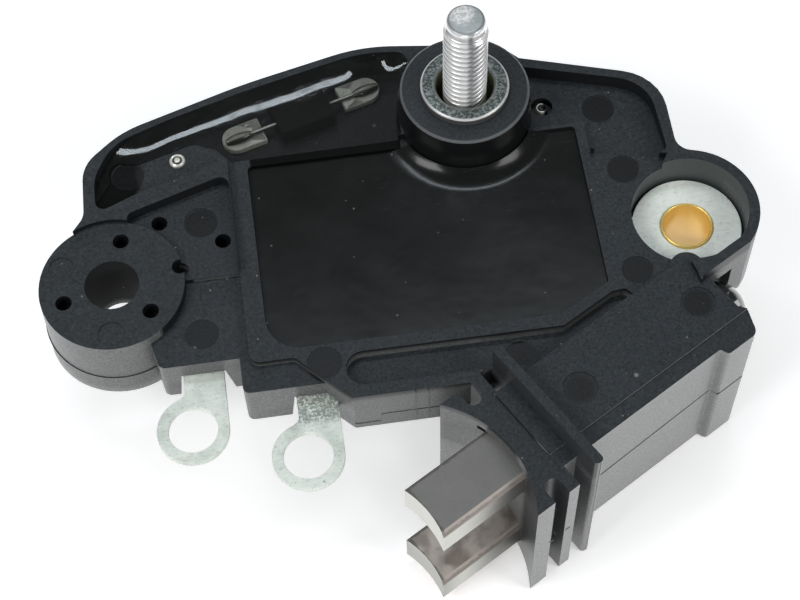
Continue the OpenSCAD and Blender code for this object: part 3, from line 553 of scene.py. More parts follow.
def carbon():
    """Pressed copper-graphite: grey on top. The upright faces are paler near the brush's end,
    worn by rubbing and with painted sheen, and darken towards the holder as painted shade; the
    edges carry a painted highlight.
    """
    t = Finish("carbon")
    cloud = t.noise(3.0, 3.0)
    flakes = t.step(t.noise(0.12, 2.0), 0.58, 0.72)
    wobble = t.noise(0.8, 3.0) * 0.5
    along, across = t.brush_axes()
    low = 1 - t.step(t.z, -8.6, -7.0)
    lower_top = t.mix(t.step(cloud, 0.35, 0.60), (0.32, 0.255, 0.21), (0.76, 0.67, 0.60))
    # Upright faces: painted sheen near the brush's end, fading to painted shade towards the
    # holder; the lower brush's end part in a mid tone
    rubbed_sheen_and_shade = t.mix(t.step(along, 14.0, 26.0), (0.66, 0.66, 0.61), (0.13, 0.125, 0.115))
    rubbed_sheen_and_shade = t.mix(low * (1 - t.step(along, 12.0, 17.0)), rubbed_sheen_and_shade, (0.38, 0.38, 0.355))
    # Painted highlight on the edges between top and sides
    edge = t.between(t.facing[2], 0.55, 0.85, 0.08)
    flanks = t.step(abs(across - BRUSH_OFFSET) + wobble, 3.75, 4.0)
    rim = flanks.math("MAXIMUM", 1 - t.step(along - wobble, 13.1, 13.5))
    colour = t.layers(
        t.mix(cloud, (0.145, 0.145, 0.138), (0.20, 0.198, 0.188)),
        (low, lower_top),
        (t.upright, rubbed_sheen_and_shade),
        (edge, (0.44, 0.39, 0.35)),
        (rim * t.upward * 0.75, (0.055, 0.048, 0.042)),
        (flakes * 0.3, (0.42, 0.38, 0.33)),
    )
    return t.done(
        Base_Color=colour,
        Metallic=0.15,
        Roughness=0.45 + cloud * 0.15,
        Normal=t.bump(t.noise(0.14, 2.0), 0.012),
    )


def plain(name, pale, dark, size_mm, rough, metal=0.0, coat=0.0, shine=0.5, painted_crown_highlight=None):
    """Cloudy finish for small and inner pieces, with a painted highlight colour on its top
    faces if given.
    """
    t = Finish(name)
    cloud = t.noise(size_mm, 4.0)
    colour = t.mix(cloud, pale, dark)
    # Painted highlight on the top faces, if given
    if painted_crown_highlight:
        colour = t.mix(t.step(t.facing[2], 0.80, 0.93), colour, painted_crown_highlight)
    return t.done(
        Base_Color=colour,
        Specular_IOR_Level=shine,
        Metallic=metal,
        Roughness=rough + cloud * 0.12,
        Coat_Weight=coat,
        Normal=t.bump(t.noise(size_mm * 0.15, 2.0), 0.01),
    )


def copper_braid():
    """Fine copper strands, drawn along the brushes."""
    t = Finish("copper_braid")
    hair = t.noise(0.07, 1.0, t.turned(BRUSH_ANGLE, (0.12, 1, 1)))
    return t.done(
        Base_Color=t.mix(hair, (0.80, 0.40, 0.25), (0.45, 0.20, 0.12)),
        Metallic=1.0,
        Roughness=0.32,
        Normal=t.bump(hair, 0.02),
    )


def make_finishes():
    """All the finishes, by the record's material slot."""
    return {
        "black_plastic": moulded_black(),
        "potting_resin": potting_resin(),
        "clear_resin": clear_resin(),
        "zinc_steel": turned_steel(),
        "zinc_sleeve": zinc_sleeve(),
        "tinned_metal": plated("tinned_strip", (0.80, 0.84, 0.80), (0.64, 0.68, 0.64)),
        "tinned_plate": plated(
            "tinned_eyelet", (0.95, 1.0, 0.93), (0.80, 0.86, 0.79), 0.5, 0.0, 0.2),
        "tinned_lug": plated(
            "tinned_ring", (0.80, 0.86, 0.79), (0.60, 0.66, 0.60), 0.46, 0.05, 0.5,
            scuffed_and_painted_shade=(18.0, -21.6)),
        "pad_metal": plated(
            "sunk_pad", (0.92, 0.95, 0.84), (0.66, 0.69, 0.60), 0.5, 0.0, 0.2),
        # Painted highlight on the wire's top, painted shade in its dark colour elsewhere
        "lead_wire": plain(
            "tinned_wire", (0.10, 0.10, 0.09), (0.06, 0.06, 0.05), 1.0, 0.3,
            painted_crown_highlight=(1.0, 1.0, 0.96)),
        "pin_metal": pin_metal(),
        "brass": bright_brass(),
        "carbon": carbon(),
        "capacitor_case": plain(
            "dipped_case", (0.0015, 0.0014, 0.0012), (0.004, 0.0038, 0.0034), 1.5, 0.6,
            shine=0.05),
        # Painted highlight on the solder's top, painted shade in its dark colour around it
        "solder": plain(
            "solder", (0.03, 0.032, 0.024), (0.015, 0.016, 0.012), 0.8, 0.3, 0.1,
            painted_crown_highlight=(0.42, 0.43, 0.36)),
        "spring_steel": plain(
            "spring_wire", (0.66, 0.66, 0.66), (0.5, 0.5, 0.5), 2.0, 0.24, 1.0),
        "copper_braid": copper_braid(),
        "plug_plastic": plain(
            "glossy_plug", (0.02, 0.021, 0.021), (0.035, 0.036, 0.035), 1.5, 0.1, coat=0.8),
        "aluminium": plain(
            "milled_aluminium", (0.72, 0.73, 0.74), (0.60, 0.61, 0.62), 3.0, 0.34, 1.0),
        "ceramic": plain(
            "fired_ceramic", (0.82, 0.80, 0.74), (0.74, 0.72, 0.66), 4.0, 0.5),
        "chip_epoxy": plain(
            "chip_case", (0.03, 0.03, 0.032), (0.045, 0.045, 0.047), 1.0, 0.45),
    }


# Filled by main() before the pieces are made
FINISHES = {}


# ---------------------------------------------------------------- mesh tools


# Faces that turn by less are joined, edges that turn by more are rounded; in radians
FLAT_TURN, BEVEL_ANGLE = 0.0035, math.radians(38)
# Closer vertices are welded, shorter edges are dropped; in metres
WELD, SHORTEST = 0.000002, 0.000001


def clamp(value):
    """The value, held between 0 and 1."""
    return max(0.0, min(1.0, value))


def bell(value, centre, width, power=2):
    """1 at the centre, falling towards 0 beyond the width."""
    return math.exp(-(((value - centre) / width) ** power))


def place(name, mesh, slot, replaced=(), body="base"):
    """Makes an object of the mesh, with its finish, on its body."""
    piece = bpy.data.objects.new(name, mesh)
    bpy.context.scene.collection.objects.link(piece)
    mesh.materials.clear()
    mesh.materials.append(FINISHES[slot])
    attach(piece, body)
    if replaced:
        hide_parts(*replaced)
    return piece


def place_built(bm, name, slot, replaced=(), degrees=None):
    """Places a bmesh with its normals outwards, smooth below an angle if one is given."""
    bmesh.ops.recalc_face_normals(bm, faces=bm.faces)
    if degrees:
        smooth_by_angle(bm, degrees)
    return place(name, to_mesh(bm, name), slot, replaced)


def welded(node):
    """A copy of a CAD node's mesh as a bmesh, welded, its flat faces joined."""
    bm = bmesh.new()
    bm.from_mesh(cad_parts[node].data)
    bmesh.ops.remove_doubles(bm, verts=bm.verts, dist=WELD)
    bmesh.ops.dissolve_degenerate(bm, dist=SHORTEST, edges=bm.edges)
    bmesh.ops.dissolve_limit(
        bm, angle_limit=FLAT_TURN, use_dissolve_boundaries=False,
        verts=bm.verts, edges=bm.edges,
    )
    return bm


def smooth_by_angle(bm, degrees=32):
    """Smooth faces, with sharp edges where two of them turn by more than the angle."""
    limit = math.radians(degrees)
    for face in bm.faces:
        face.smooth = True
    for edge in bm.edges:
        edge.smooth = edge.is_manifold and edge.calc_face_angle(0) < limit


def to_mesh(bm, name):
    """A mesh made of the bmesh, which is freed."""
    mesh = bpy.data.meshes.new(name)
    bm.to_mesh(mesh)
    bm.free()
    return mesh


def bake(piece):
    """The piece's evaluated mesh as a plain one."""
    graph = bpy.context.evaluated_depsgraph_get()
    return bpy.data.meshes.new_from_object(piece.evaluated_get(graph))


def rounded_copy(name, node, slot, width_mm, segments=2, body="base"):
    """A CAD node's copy with small radii on its edges."""
    bm = welded(node)
    smooth_by_angle(bm)
    piece = place(name, to_mesh(bm, name), slot, [node], body)
    if width_mm:
        bevel = piece.modifiers.new("edges", "BEVEL")
        bevel.width = width_mm * MM
        bevel.segments = segments
        bevel.limit_method = "ANGLE"
        bevel.angle_limit = BEVEL_ANGLE
        bevel.miter_outer = "MITER_ARC"
        piece.data = bake(piece)
        piece.modifiers.clear()
        bm = bmesh.new()
        bm.from_mesh(piece.data)
        smooth_by_angle(bm, 18)
        bm.to_mesh(piece.data)
        bm.free()
    return piece


def rounded_copies(ending, parts, segments=2):
    """Rounded copies of several nodes: each part is (node, slot, width in mm)."""
    for node, slot, width in parts:
        rounded_copy(f"{node}_{ending}", node, slot, width, segments)


def skin(bm, rings):
    """Faces between rings of vertices. A ring of one vertex is a pole."""
    for low, high in zip(rings[:-1], rings[1:]):
        count = max(len(low), len(high))
        for k in range(count):
            n = (k + 1) % count
            if len(low) == 1:
                bm.faces.new((low[0], high[n], high[k]))
            elif len(high) == 1:
                bm.faces.new((low[k], low[n], high[0]))
            else:
                bm.faces.new((low[k], low[n], high[n], high[k]))


def lathe(bm, profile, centre, segments=96):
    """Adds a turned closed body to a bmesh: profile is (radius, height) in mm."""
    rings = []
    for radius, height in profile:
        count = segments if radius else 1
        rings.append([
            bm.verts.new((
                (centre[0] + radius * math.cos(math.tau * k / count)) * MM,
                (centre[1] + radius * math.sin(math.tau * k / count)) * MM,
                height * MM,
            ))
            for k in range(count)
        ])
    skin(bm, rings)


def grown(name, tree, sizes):
    """Runs a geometry tree on an empty mesh and returns the plain mesh."""
    holder = bpy.data.objects.new(name, bpy.data.meshes.new(name))
    bpy.context.scene.collection.objects.link(holder)
    modifier = holder.modifiers.new("tree", "NODES")
    modifier.node_group = tree
    for item in tree.interface.items_tree:
        if item.item_type == "SOCKET" and item.in_out == "INPUT" and item.name in sizes:
            modifier[item.identifier] = sizes[item.name]
    mesh = bake(holder)
    mesh.name = name
    bpy.data.objects.remove(holder)
    return mesh


def geometry_tree(name, inputs):
    """A geometry tree with named number inputs; returns it and the inputs."""
    group = bpy.data.node_groups.new(name, "GeometryNodeTree")
    tree = Tree(group)
    for title, kind, default in inputs:
        socket = group.interface.new_socket(name=title, in_out="INPUT", socket_type=kind)
        socket.default_value = default
    group.interface.new_socket(
        name="Geometry", in_out="OUTPUT", socket_type="NodeSocketGeometry")
    source = tree.node("NodeGroupInput")
    return tree, {title: tree.out(source, title) for title, _, _ in inputs}


def close_tree(tree, geometry, slot):
    """Ends a geometry tree in real meshes with their finish."""
    real = tree.node("GeometryNodeRealizeInstances", None, {0: geometry})
    done = tree.node("GeometryNodeSetMaterial", None, {
        "Geometry": real, "Material": FINISHES[slot],
    })
    tree.node("NodeGroupOutput", None, {0: done})
    return tree.tree


FLOAT, INT = "NodeSocketFloat", "NodeSocketInt"


def thread_tree():
    """A helical thread as a tube: the wall's radius follows the helix."""
    tree, s = geometry_tree("screw_thread", [
        ("Radius", FLOAT, 0.003), ("Depth", FLOAT, 0.0006), ("Pitch", FLOAT, 0.001),
        ("Length", FLOAT, 0.012), ("Base", FLOAT, 0.018), ("Run Out", FLOAT, 0.0008),
        ("Around", INT, 97), ("Along", INT, 240),
    ])
    grid = tree.node("GeometryNodeMeshGrid", None, {
        "Size X": math.tau, "Size Y": s["Length"],
        "Vertices X": s["Around"], "Vertices Y": s["Along"],
    })
    x, y, _ = tree.split(tree.out(tree.node("GeometryNodeInputPosition")))
    along = y + s["Length"] * 0.5
    turn = (along / s["Pitch"] - x / math.tau).math("FRACT")
    flank = 1 - abs(turn * 2 - 1)
    crest = tree.step(flank, 0.02, 0.62)
    start = (along / s["Run Out"]).math("MINIMUM", 1.0)
    ends = start * ((s["Length"] - along) / s["Run Out"]).math("MINIMUM", 1.0)
    radius = s["Radius"] - s["Depth"] * (1 - crest * ends)
    spot = tree.join(radius * x.math("COSINE"), radius * x.math("SINE"), along + s["Base"])
    wall = tree.node("GeometryNodeSetPosition", None, {
        "Geometry": tree.out(grid, "Mesh"), "Position": spot,
    })
    closed = tree.node("GeometryNodeMergeByDistance", None, {
        "Geometry": wall, "Distance": 1e-7,
    })
    smooth = tree.node("GeometryNodeSetShadeSmooth", None, {"Geometry": closed})
    return close_tree(tree, smooth, "zinc_steel")


def coil_tree(slot):
    """A wire coil along the brushes' direction, from a start point."""
    tree, s = geometry_tree("wire_coil_" + slot, [
        ("Mean Radius", FLOAT, 0.00195), ("Wire", FLOAT, 0.0005), ("Turns", FLOAT, 14.0),
        ("Length", FLOAT, 0.026), ("Strands", INT, 1), ("Angle", FLOAT, BRUSH_ANGLE),
        ("Start X", FLOAT, 0.0), ("Start Y", FLOAT, 0.0), ("Start Z", FLOAT, 0.0),
        ("Steps", INT, 24),
    ])
    path = tree.node("GeometryNodeCurveSpiral", None, {
        "Resolution": s["Steps"], "Rotations": s["Turns"],
        "Start Radius": s["Mean Radius"], "End Radius": s["Mean Radius"],
        "Height": s["Length"],
    })
    ring = tree.node("GeometryNodeCurvePrimitiveCircle", None, {
        "Resolution": 10, "Radius": s["Wire"] * 0.5,
    })
    wire = tree.node("GeometryNodeCurveToMesh", None, {0: path, 1: ring, "Fill Caps": True})
    points = tree.node("GeometryNodePoints", None, {
        "Count": s["Strands"], "Position": (0, 0, 0),
    })
    index = tree.out(tree.node("GeometryNodeInputIndex"))
    spin = tree.join(0.0, 0.0, index * math.tau / s["Strands"])
    strands = tree.node("GeometryNodeInstanceOnPoints", None, {
        "Points": points, "Instance": wire, "Rotation": spin,
    })
    real = tree.node("GeometryNodeRealizeInstances", None, {0: strands})
    laid = tree.node("GeometryNodeTransform", None, {
        "Geometry": real, "Rotation": tree.join(0.0, math.pi / 2, s["Angle"]),
        "Translation": tree.join(s["Start X"], s["Start Y"], s["Start Z"]),
    })
    smooth = tree.node("GeometryNodeSetShadeSmooth", None, {"Geometry": laid})
    return close_tree(tree, smooth, slot)


# ---------------------------------------------------------------- sizes


class RegulatorSizes(bpy.types.PropertyGroup):
    thread_pitch: bpy.props.FloatProperty(
        name="Thread pitch", description="Distance between the stud's threads",
        default=1.0 * MM, min=0.5 * MM, max=2 * MM, unit="LENGTH", precision=5)
    thread_depth: bpy.props.FloatProperty(
        name="Thread depth", description="Depth of the stud's thread",
        default=0.5 * MM, min=0.2 * MM, max=0.8 * MM, unit="LENGTH", precision=5)
    edge_radius: bpy.props.FloatProperty(
        name="Edge radius", description="Radius on the moulding's edges",
        default=0.2 * MM, min=0.0, max=0.5 * MM, unit="LENGTH", precision=5)
    spring_turns: bpy.props.FloatProperty(
        name="Spring turns", description="Turns of each brush spring",
        default=14.0, min=4.0, max=20.0)
    braid_strands: bpy.props.IntProperty(
        name="Braid strands", description="Strands of each pigtail",
        default=4, min=2, max=8)


# ---------------------------------------------------------------- operators


WHITE = (1, 1, 1)
# Area lights: name, place, width and height in metres, power in watts, colour
LIGHTS = (
    ("key", (-0.30, -0.16, 0.42), 0.26, 0.20, 1.25, WHITE),
    ("fill", (0.42, -0.22, 0.34), 0.22, 0.22, 0.92, WHITE),
    ("front", (0.02, -0.46, 0.16), 0.45, 0.10, 0.55, WHITE),
    ("back", (0.05, 0.50, 0.20), 0.40, 0.10, 0.35, WHITE),
    ("strip", (0.02, 0.17, 0.50), 0.36, 0.055, 0.56, (0.84, 0.92, 1.0)),
)
LIGHT_AIM = Vector((0.042, 0.0, 0.005))
FLOOR_GAP = 0.0002

# The camera as fitted to the photo: focal length and sensor width in mm, place in metres
LENS, SENSOR = 85.14, 36.0
CAMERA_PLACE = Matrix((
    (0.9903936, 0.1286015, -0.0508143, 0.0248466),
    (-0.1370086, 0.8629961, -0.4862780, -0.1288676),
    (-0.0186835, 0.4885687, 0.8723254, 0.2283909),
    (0, 0, 0, 1),
))


class REG_OT_stage(bpy.types.Operator):
    """Floor, lights and camera"""
    bl_idname = "regulator.stage"
    bl_label = "Stage"

    def execute(self, context):
        scene = context.scene
        scene.view_settings.view_transform = "Standard"
        self.world(scene)
        self.floor(scene)
        for name, spot, width, height, power, colour in LIGHTS:
            data = bpy.data.lights.new(name, "AREA")
            data.shape = "RECTANGLE"
            data.size, data.size_y = width, height
            data.energy, data.color = power, colour
            lamp = bpy.data.objects.new(name, data)
            lamp.location = spot
            lamp.rotation_mode = "QUATERNION"
            lamp.rotation_quaternion = (LIGHT_AIM - Vector(spot)).to_track_quat("-Z", "Y")
            scene.collection.objects.link(lamp)
        data = bpy.data.cameras.new("camera")
        data.lens, data.sensor_width = LENS, SENSOR
        data.clip_start, data.clip_end = 0.01, 10
        camera = bpy.data.objects.new("camera", data)
        scene.collection.objects.link(camera)
        camera.matrix_world = CAMERA_PLACE
        scene.camera = camera
        return {"FINISHED"}

    def world(self, scene):
        """White where the camera looks past the floor, dim for everything else."""
        scene.world = bpy.data.worlds.new("studio")
        scene.world.use_nodes = True
        t = Tree(scene.world.node_tree)
        rays = t.node("ShaderNodeLightPath")
        seen = t.math(
            "MAXIMUM", t.out(rays, "Is Camera Ray"), t.out(rays, "Is Transmission Ray"))
        dim = t.node("ShaderNodeBackground", None, {"Color": (0.95, 0.97, 1), "Strength": 0.12})
        white = t.node("ShaderNodeBackground", None, {"Color": WHITE, "Strength": 1.0})
        both = t.node("ShaderNodeMixShader", None, {0: seen, 1: dim, 2: white})
        t.node("ShaderNodeOutputWorld", None, {"Surface": both})

    def floor(self, scene):
        """A white floor just below the part, with a glow of its own."""
        bm = bmesh.new()
        bmesh.ops.create_grid(bm, x_segments=1, y_segments=1, size=0.9)
        bmesh.ops.translate(bm, verts=bm.verts, vec=(0, 0, CAD_BOUNDS[0].z - FLOOR_GAP))
        floor = bpy.data.objects.new("floor", to_mesh(bm, "floor"))
        scene.collection.objects.link(floor)
        finish = bpy.data.materials.new("floor")
        finish.use_nodes = True
        t = Tree(finish.node_tree)
        rays = t.node("ShaderNodeLightPath")
        seen = t.out(rays, "Is Camera Ray") * 0.38 + t.out(rays, "Is Glossy Ray") * 0.9
        matt = t.node("ShaderNodeBsdfDiffuse", None, {"Color": (0.95, 0.95, 0.95)})
        glow = t.node("ShaderNodeEmission", None, {"Color": WHITE, "Strength": seen})
        both = t.node("ShaderNodeAddShader", None, {0: matt, 1: glow})
        t.node("ShaderNodeOutputMaterial", None, {"Surface": both})
        floor.data.materials.append(finish)


class REG_OT_moulding(bpy.types.Operator):
    """The black moulding with small radii on its edges"""
    bl_idname = "regulator.moulding"
    bl_label = "Moulding"

    def execute(self, context):
        sizes = context.scene.regulator_sizes
        rounded_copy("moulding", "housing", "black_plastic", sizes.edge_radius / MM)
        return {"FINISHED"}


class REG_OT_parting(bpy.types.Operator):
    """Raised parting lines of the mould on the outer walls"""
    bl_idname = "regulator.parting"
    bl_label = "Parting lines"

    # Rib around the left ear, just inside the CAD box, and the plate's front wall, in mm
    EAR_RADIUS, EAR_HEIGHT = 10.015, 3.9
    FRONT = -21

    def execute(self, context):
        bm = bmesh.new()
        angles = [math.radians(125 + k * 4) for k in range(46)]
        self.rib(bm, [Vector((
            self.EAR_RADIUS * math.cos(a), self.EAR_RADIUS * math.sin(a), self.EAR_HEIGHT,
        )) * MM for a in angles])
        rear = 62.6
        self.holder_rib(
            bm, (33.5, -6.6, -2.2), (rear - 6, -6.6, -0.7), (rear - 5.6, -7.8, -0.7),
            (rear - 1.2, -7.8, -0.7))
        self.front_rib(bm, (29.6, 3.2), (33.0, 3.2), (33.2, 5.2), (47.4, 5.2))
        for x in (37.7, 39.4):
            self.front_rib(bm, (x, 2.1), (x, 10.6))
        plate = 32.2 + 0.65
        self.holder_rib(bm, (plate, -10.15, -14.2), (plate, -10.15, 14.2))
        for u in (26.2, 29.0):
            self.holder_rib(bm, (u - 0.4, -9.75, -1.8), (u + 0.4, -9.75, -1.8))
        place_built(bm, "parting_lines", "black_plastic")
        return {"FINISHED"}

    def front_rib(self, bm, *points):
        """A rib on the plate's front wall through points given as (x, z)."""
        self.rib(bm, [Vector((x, self.FRONT, z)) * MM for x, z in points])

    def holder_rib(self, bm, *points):
        """A rib on the brush box through points given along, across and up."""
        self.rib(bm, [holder_point(*point) for point in points])

    def rib(self, bm, path, wide=0.07 * MM):
        """A thin square rod along a path, half sunk in the wall."""
        rings = []
        for k, point in enumerate(path):
            ahead = path[min(k + 1, len(path) - 1)] - path[max(k - 1, 0)]
            side = ahead.cross(Vector((0, 0, 1)))
            side = side.normalized() if side.length > 1e-7 else Vector((1, 0, 0))
            up = side.cross(ahead).normalized()
            rings.append([bm.verts.new(point + side * a * wide + up * b * wide)
                          for a, b in ((-1, -1), (1, -1), (1, 1), (-1, 1))])
        skin(bm, rings)
        bm.faces.new(rings[0][::-1])
        bm.faces.new(rings[-1])


class REG_OT_resins(bpy.types.Operator):
    """Potting resin of the cavity and clear resin of the channel"""
    bl_idname = "regulator.resins"
    bl_label = "Resins"

    # Far and right-hand walls of the channel, and how high the resin climbs them
    WALLS = (
        ((-1.35, 10.9), (-1.3, 16.6), 0.2), ((-1.3, 16.6), (1.6, 21.9), 0.25),
        ((1.6, 21.9), (9.6, 24.8), 0.8), ((9.6, 24.8), (20, 27.9), 0.8),
        ((20, 27.9), (37.4, 32.2), 0.8), ((37.4, 32.2), (43.7, 31.4), 0.8),
        ((43.7, 31.4), (43.9, 28.5), 0.4), ((43.9, 28.5), (41.6, 24.6), 0.3),
    )
    # Cuts that divide the resin's top: axis, first place in mm and number
    CUTS = ((0, -1.1, 90), (1, 11.1, 43))
    CUT_STEP = 0.5

    def execute(self, context):
        rounded_copy("potting", "cavity_resin", "potting_resin", 0)
        bm = welded("channel_resin")
        level = max(v.co.z for v in bm.verts)
        for axis, start, steps in self.CUTS:
            across = Vector((axis == 0, axis == 1, 0))
            for k in range(steps):
                top = [f for f in bm.faces if all(v.co.z > level - 1e-6 for v in f.verts)]
                parts = set(top)
                for face in top:
                    parts.update(face.edges, face.verts)
                bmesh.ops.bisect_plane(
                    bm, geom=list(parts), dist=1e-7,
                    plane_co=across * (start + k * self.CUT_STEP) * MM, plane_no=across)
        for v in bm.verts:
            if v.co.z > level - 1e-6:
                v.co.z += self.rise(v.co / MM) * MM
        smooth_by_angle(bm)
        place("casting", to_mesh(bm, "casting"), "clear_resin", ["channel_resin"])
        return {"FINISHED"}

    def rise(self, point):
        """Climb at the walls and the pin and faint ripples, in millimetres."""
        spot = point.to_2d()
        middle = bell(point.x, 25.5, 9.0)
        reach = 4.35 + 1.15 * middle - 1.1 * bell(point.x, 1.5, 4.5)
        climb = 0.0
        for a, b, height in self.WALLS:
            a, b = Vector(a), Vector(b)
            share = clamp((spot - a).dot(b - a) / (b - a).length_squared)
            gap = (spot - a - (b - a) * share).length
            climb = max(climb, height * (1 + 0.12 * middle) * clamp(1.0 - gap / reach) ** 2)
        ends = clamp((point.x + 1.0) / 7.0) * (1.0 - 0.76 * bell(point.x, 38.1, 2.2, 4))
        from_pin = max(0.0, (spot - Vector(LEFT_PIN)).length - 1.1)
        collar = 0.45 * clamp(1.0 - from_pin / 1.7) ** 2
        ripple = 0.012 * noise.noise(Vector((point.x, point.y, 0)) * 0.35)
        return climb * ends + collar + ripple


class REG_OT_stud(bpy.types.Operator):
    """Threaded stud with its turned tip, and the sleeve around it"""
    bl_idname = "regulator.stud"
    bl_label = "Stud and sleeve"

    # Turned parts of the stud below and above its thread, as (radius, height) in mm
    FOOT = (
        (0, 3.4), (5.2, 3.4), (5.2, 7.0), (2.68, 7.0), (2.68, 14.6), (2.38, 14.9), (0, 14.9),
    )
    TIP = (
        (0, 29.5), (2.3, 29.5), (2.74, 29.95), (2.78, 30.1), (2.78, 30.5), (2.70, 30.56),
        (2.70, 30.7), (2.77, 30.78), (2.77, 31.45), (2.70, 31.7), (2.52, 31.96),
        (2.38, 32.08), (2.3, 32.1), (0, 32.1),
    )

    def execute(self, context):
        sizes = context.scene.regulator_sizes
        mesh = grown("thread", thread_tree(), {
            "Radius": 3.0 * MM, "Depth": sizes.thread_depth, "Pitch": sizes.thread_pitch,
            "Length": 15.8 * MM, "Base": 14.5 * MM, "Run Out": 0.5 * MM, "Along": 380,
        })
        bm = bmesh.new()
        bm.from_mesh(mesh)
        bmesh.ops.holes_fill(bm, edges=[e for e in bm.edges if e.is_boundary], sides=0)
        bmesh.ops.translate(bm, verts=bm.verts, vec=(STUD[0] * MM, STUD[1] * MM, 0))
        lathe(bm, self.FOOT, STUD)
        lathe(bm, self.TIP, STUD)
        place_built(bm, "stud", "zinc_steel", ["terminal_stud"], 40)
        rounded_copy("sleeve", "stud_sleeve", "zinc_sleeve", 0.12)
        return {"FINISHED"}


class REG_OT_ear(bpy.types.Operator):
    """Eyelet plate and rolled brass bush of the right ear"""
    bl_idname = "regulator.ear"
    bl_label = "Ear plate and bush"

    # Section of the bush and of its rolled lip, as (radius, height) in mm
    RING = ((3.2, -3.6), (3.3, -3.7), (3.5, -3.7), (3.6, -3.55), (3.6, 7.45))
    LIP = (
        (3.58, 7.56), (3.52, 7.65), (3.44, 7.70), (3.36, 7.70), (3.28, 7.66),
        (3.22, 7.59), (3.2, 7.5),
    )

    def execute(self, context):
        rounded_copy("eyelet_plate", "ground_plate", "tinned_plate", 0.1)
        bm = bmesh.new()
        lathe(bm, (*self.RING, *self.LIP, self.RING[0]), RIGHT_EAR)
        bmesh.ops.remove_doubles(bm, verts=bm.verts, dist=1e-7)
        place_built(bm, "bush", "brass", ["ear_bush"], 50)
        return {"FINISHED"}


class REG_OT_sheet_metal(bpy.types.Operator):
    """Ring lugs, output strip, solder pads and brush terminals"""
    bl_idname = "regulator.sheet_metal"
    bl_label = "Lugs, strip and pads"

    def execute(self, context):
        rounded_copies("sheet", (
            ("left_lug", "tinned_lug", 0.12), ("right_lug", "tinned_lug", 0.12),
            ("output_strip", "tinned_metal", 0.05), ("left_pad", "pad_metal", 0.12),
            ("right_pad", "pad_metal", 0.12), ("upper_terminal", "tinned_metal", 0.05),
            ("lower_terminal", "tinned_metal", 0.05),
        ))
        return {"FINISHED"}


class REG_OT_channel_parts(bpy.types.Operator):
    """Capacitor with its leads and solder, and the two pins"""
    bl_idname = "regulator.channel_parts"
    bl_label = "Capacitor and pins"

    # Each pin's node, place and section as (radius, height) in mm
    PINS = (
        ("left_pin", LEFT_PIN, (
            (0, 7.7), (1.15, 7.7), (1.15, 10.78), (1.08, 10.9), (0.96, 10.93), (0.86, 10.84),
            (0.76, 10.92), (0.55, 11.03), (0.28, 11.09), (0, 11.1))),
        ("right_pin", RIGHT_PIN, (
            (0, 5.8), (0.8, 5.8), (0.8, 9.5), (0.74, 9.59), (0.64, 9.6), (0.54, 9.5),
            (0.42, 9.2), (0.2, 9.08), (0, 9.05))),
    )

    def execute(self, context):
        rounded_copies("piece", (
            ("capacitor", "capacitor_case", 0.8), ("left_lead", "lead_wire", 0),
            ("right_lead", "lead_wire", 0), ("left_solder", "solder", 0),
            ("right_solder", "solder", 0),
        ), 3)
        for node, spot, profile in self.PINS:
            bm = bmesh.new()
            lathe(bm, profile, spot, 48)
            place_built(bm, node + "_piece", "pin_metal", [node], 50)
        return {"FINISHED"}


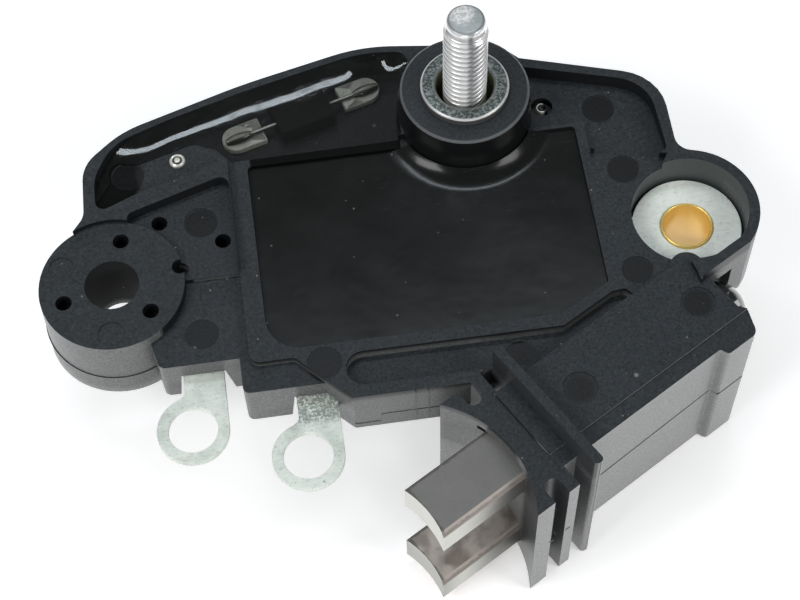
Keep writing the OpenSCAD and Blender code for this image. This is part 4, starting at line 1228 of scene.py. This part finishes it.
class REG_OT_brushes(bpy.types.Operator):
    """Carbon brushes with their springs and pigtails"""
    bl_idname = "regulator.brushes"
    bl_label = "Brushes"

    # Places along the brushes in mm: ends of the spring's and the pigtail's room
    BRUSH_REAR, PIGTAIL_ROOT, BOX_END = 32.9, 28.9, 59.2
    # Wire of the springs, its gap at both ends and the brushes' half height, in mm
    WIRE, GAP, HALF_HEIGHT = 0.5, 0.04, 2.5

    def execute(self, context):
        sizes = context.scene.regulator_sizes
        coils, braids = coil_tree("spring_steel"), coil_tree("copper_braid")
        start = self.BRUSH_REAR + self.WIRE / 2 + self.GAP
        end = self.BOX_END - self.WIRE / 2 - self.GAP
        for side, top in (("upper", 8.8), ("lower", -7.8)):
            rounded_copy(
                side + "_carbon", side + "_brush", "carbon", 0.1, body=side + "_brush")
            level = top - self.HALF_HEIGHT
            self.line(side, "spring", coils, "spring_steel", (start, end, end), level, {
                "Mean Radius": 1.95 * MM, "Wire": self.WIRE * MM,
                "Turns": sizes.spring_turns, "Strands": 1,
            })
            room = (self.PIGTAIL_ROOT, 59.1, self.BOX_END)
            self.line(side, "pigtail", braids, "copper_braid", room, level, {
                "Mean Radius": 0.46 * MM, "Wire": 0.6 * MM,
                "Turns": 5.0, "Strands": sizes.braid_strands,
            })
        return {"FINISHED"}

    def line(self, side, kind, tree, slot, room, level, sizes):
        """A coiled piece from the start to the end of its room. Its room is where it starts,
        where it ends and the place that stays put."""
        start, end, anchor = room
        name = f"{side}_{kind}_wire"
        spot = holder_point(start, 0, level)
        bm = bmesh.new()
        bm.from_mesh(grown(name, tree, {
            **sizes, "Length": (end - start) * MM,
            "Start X": spot.x, "Start Y": spot.y, "Start Z": spot.z,
        }))
        piece = place_built(bm, name, slot, [f"{side}_{kind}"])
        tuple(holder_point(anchor, 0, level))
        1 - BRUSH_TRAVEL / (anchor - start)
        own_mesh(piece)


class REG_OT_inner_parts(bpy.types.Operator):
    """Rear plug, heat sink, board and chips"""
    bl_idname = "regulator.inner_parts"
    bl_label = "Plug and circuit"

    def execute(self, context):
        rounded_copies("piece", (
            ("rear_plug", "plug_plastic", 0.1), ("heat_sink", "aluminium", 0.15),
            ("circuit_board", "ceramic", 0.05), ("control_chip", "chip_epoxy", 0.15),
            ("power_chip", "chip_epoxy", 0.15),
        ))
        return {"FINISHED"}


STEPS = (
    REG_OT_stage, REG_OT_moulding, REG_OT_parting, REG_OT_resins, REG_OT_stud, REG_OT_ear,
    REG_OT_sheet_metal, REG_OT_channel_parts, REG_OT_brushes, REG_OT_inner_parts,
)


class REG_PT_panel(bpy.types.Panel):
    """Sizes and steps of the regulator"""
    bl_label = "Voltage regulator"
    bl_idname = "REG_PT_panel"
    bl_space_type = "VIEW_3D"
    bl_region_type = "UI"
    bl_category = "Regulator"

    def draw(self, context):
        sizes = context.scene.regulator_sizes
        for name in (
            "thread_pitch", "thread_depth", "edge_radius", "spring_turns", "braid_strands",
        ):
            self.layout.prop(sizes, name)
        for step in STEPS:
            self.layout.operator(step.bl_idname)


def register():
    for kind in (RegulatorSizes, *STEPS, REG_PT_panel):
        bpy.utils.register_class(kind)
    bpy.types.Scene.regulator_sizes = bpy.props.PointerProperty(type=RegulatorSizes)


def unregister():
    del bpy.types.Scene.regulator_sizes
    for kind in reversed((RegulatorSizes, *STEPS, REG_PT_panel)):
        bpy.utils.unregister_class(kind)


def main():
    register()
    FINISHES.update(make_finishes())
    for step in STEPS:
        group, name = step.bl_idname.split(".")
        getattr(getattr(bpy.ops, group), name)()


if __name__ == "__main__":
    main()
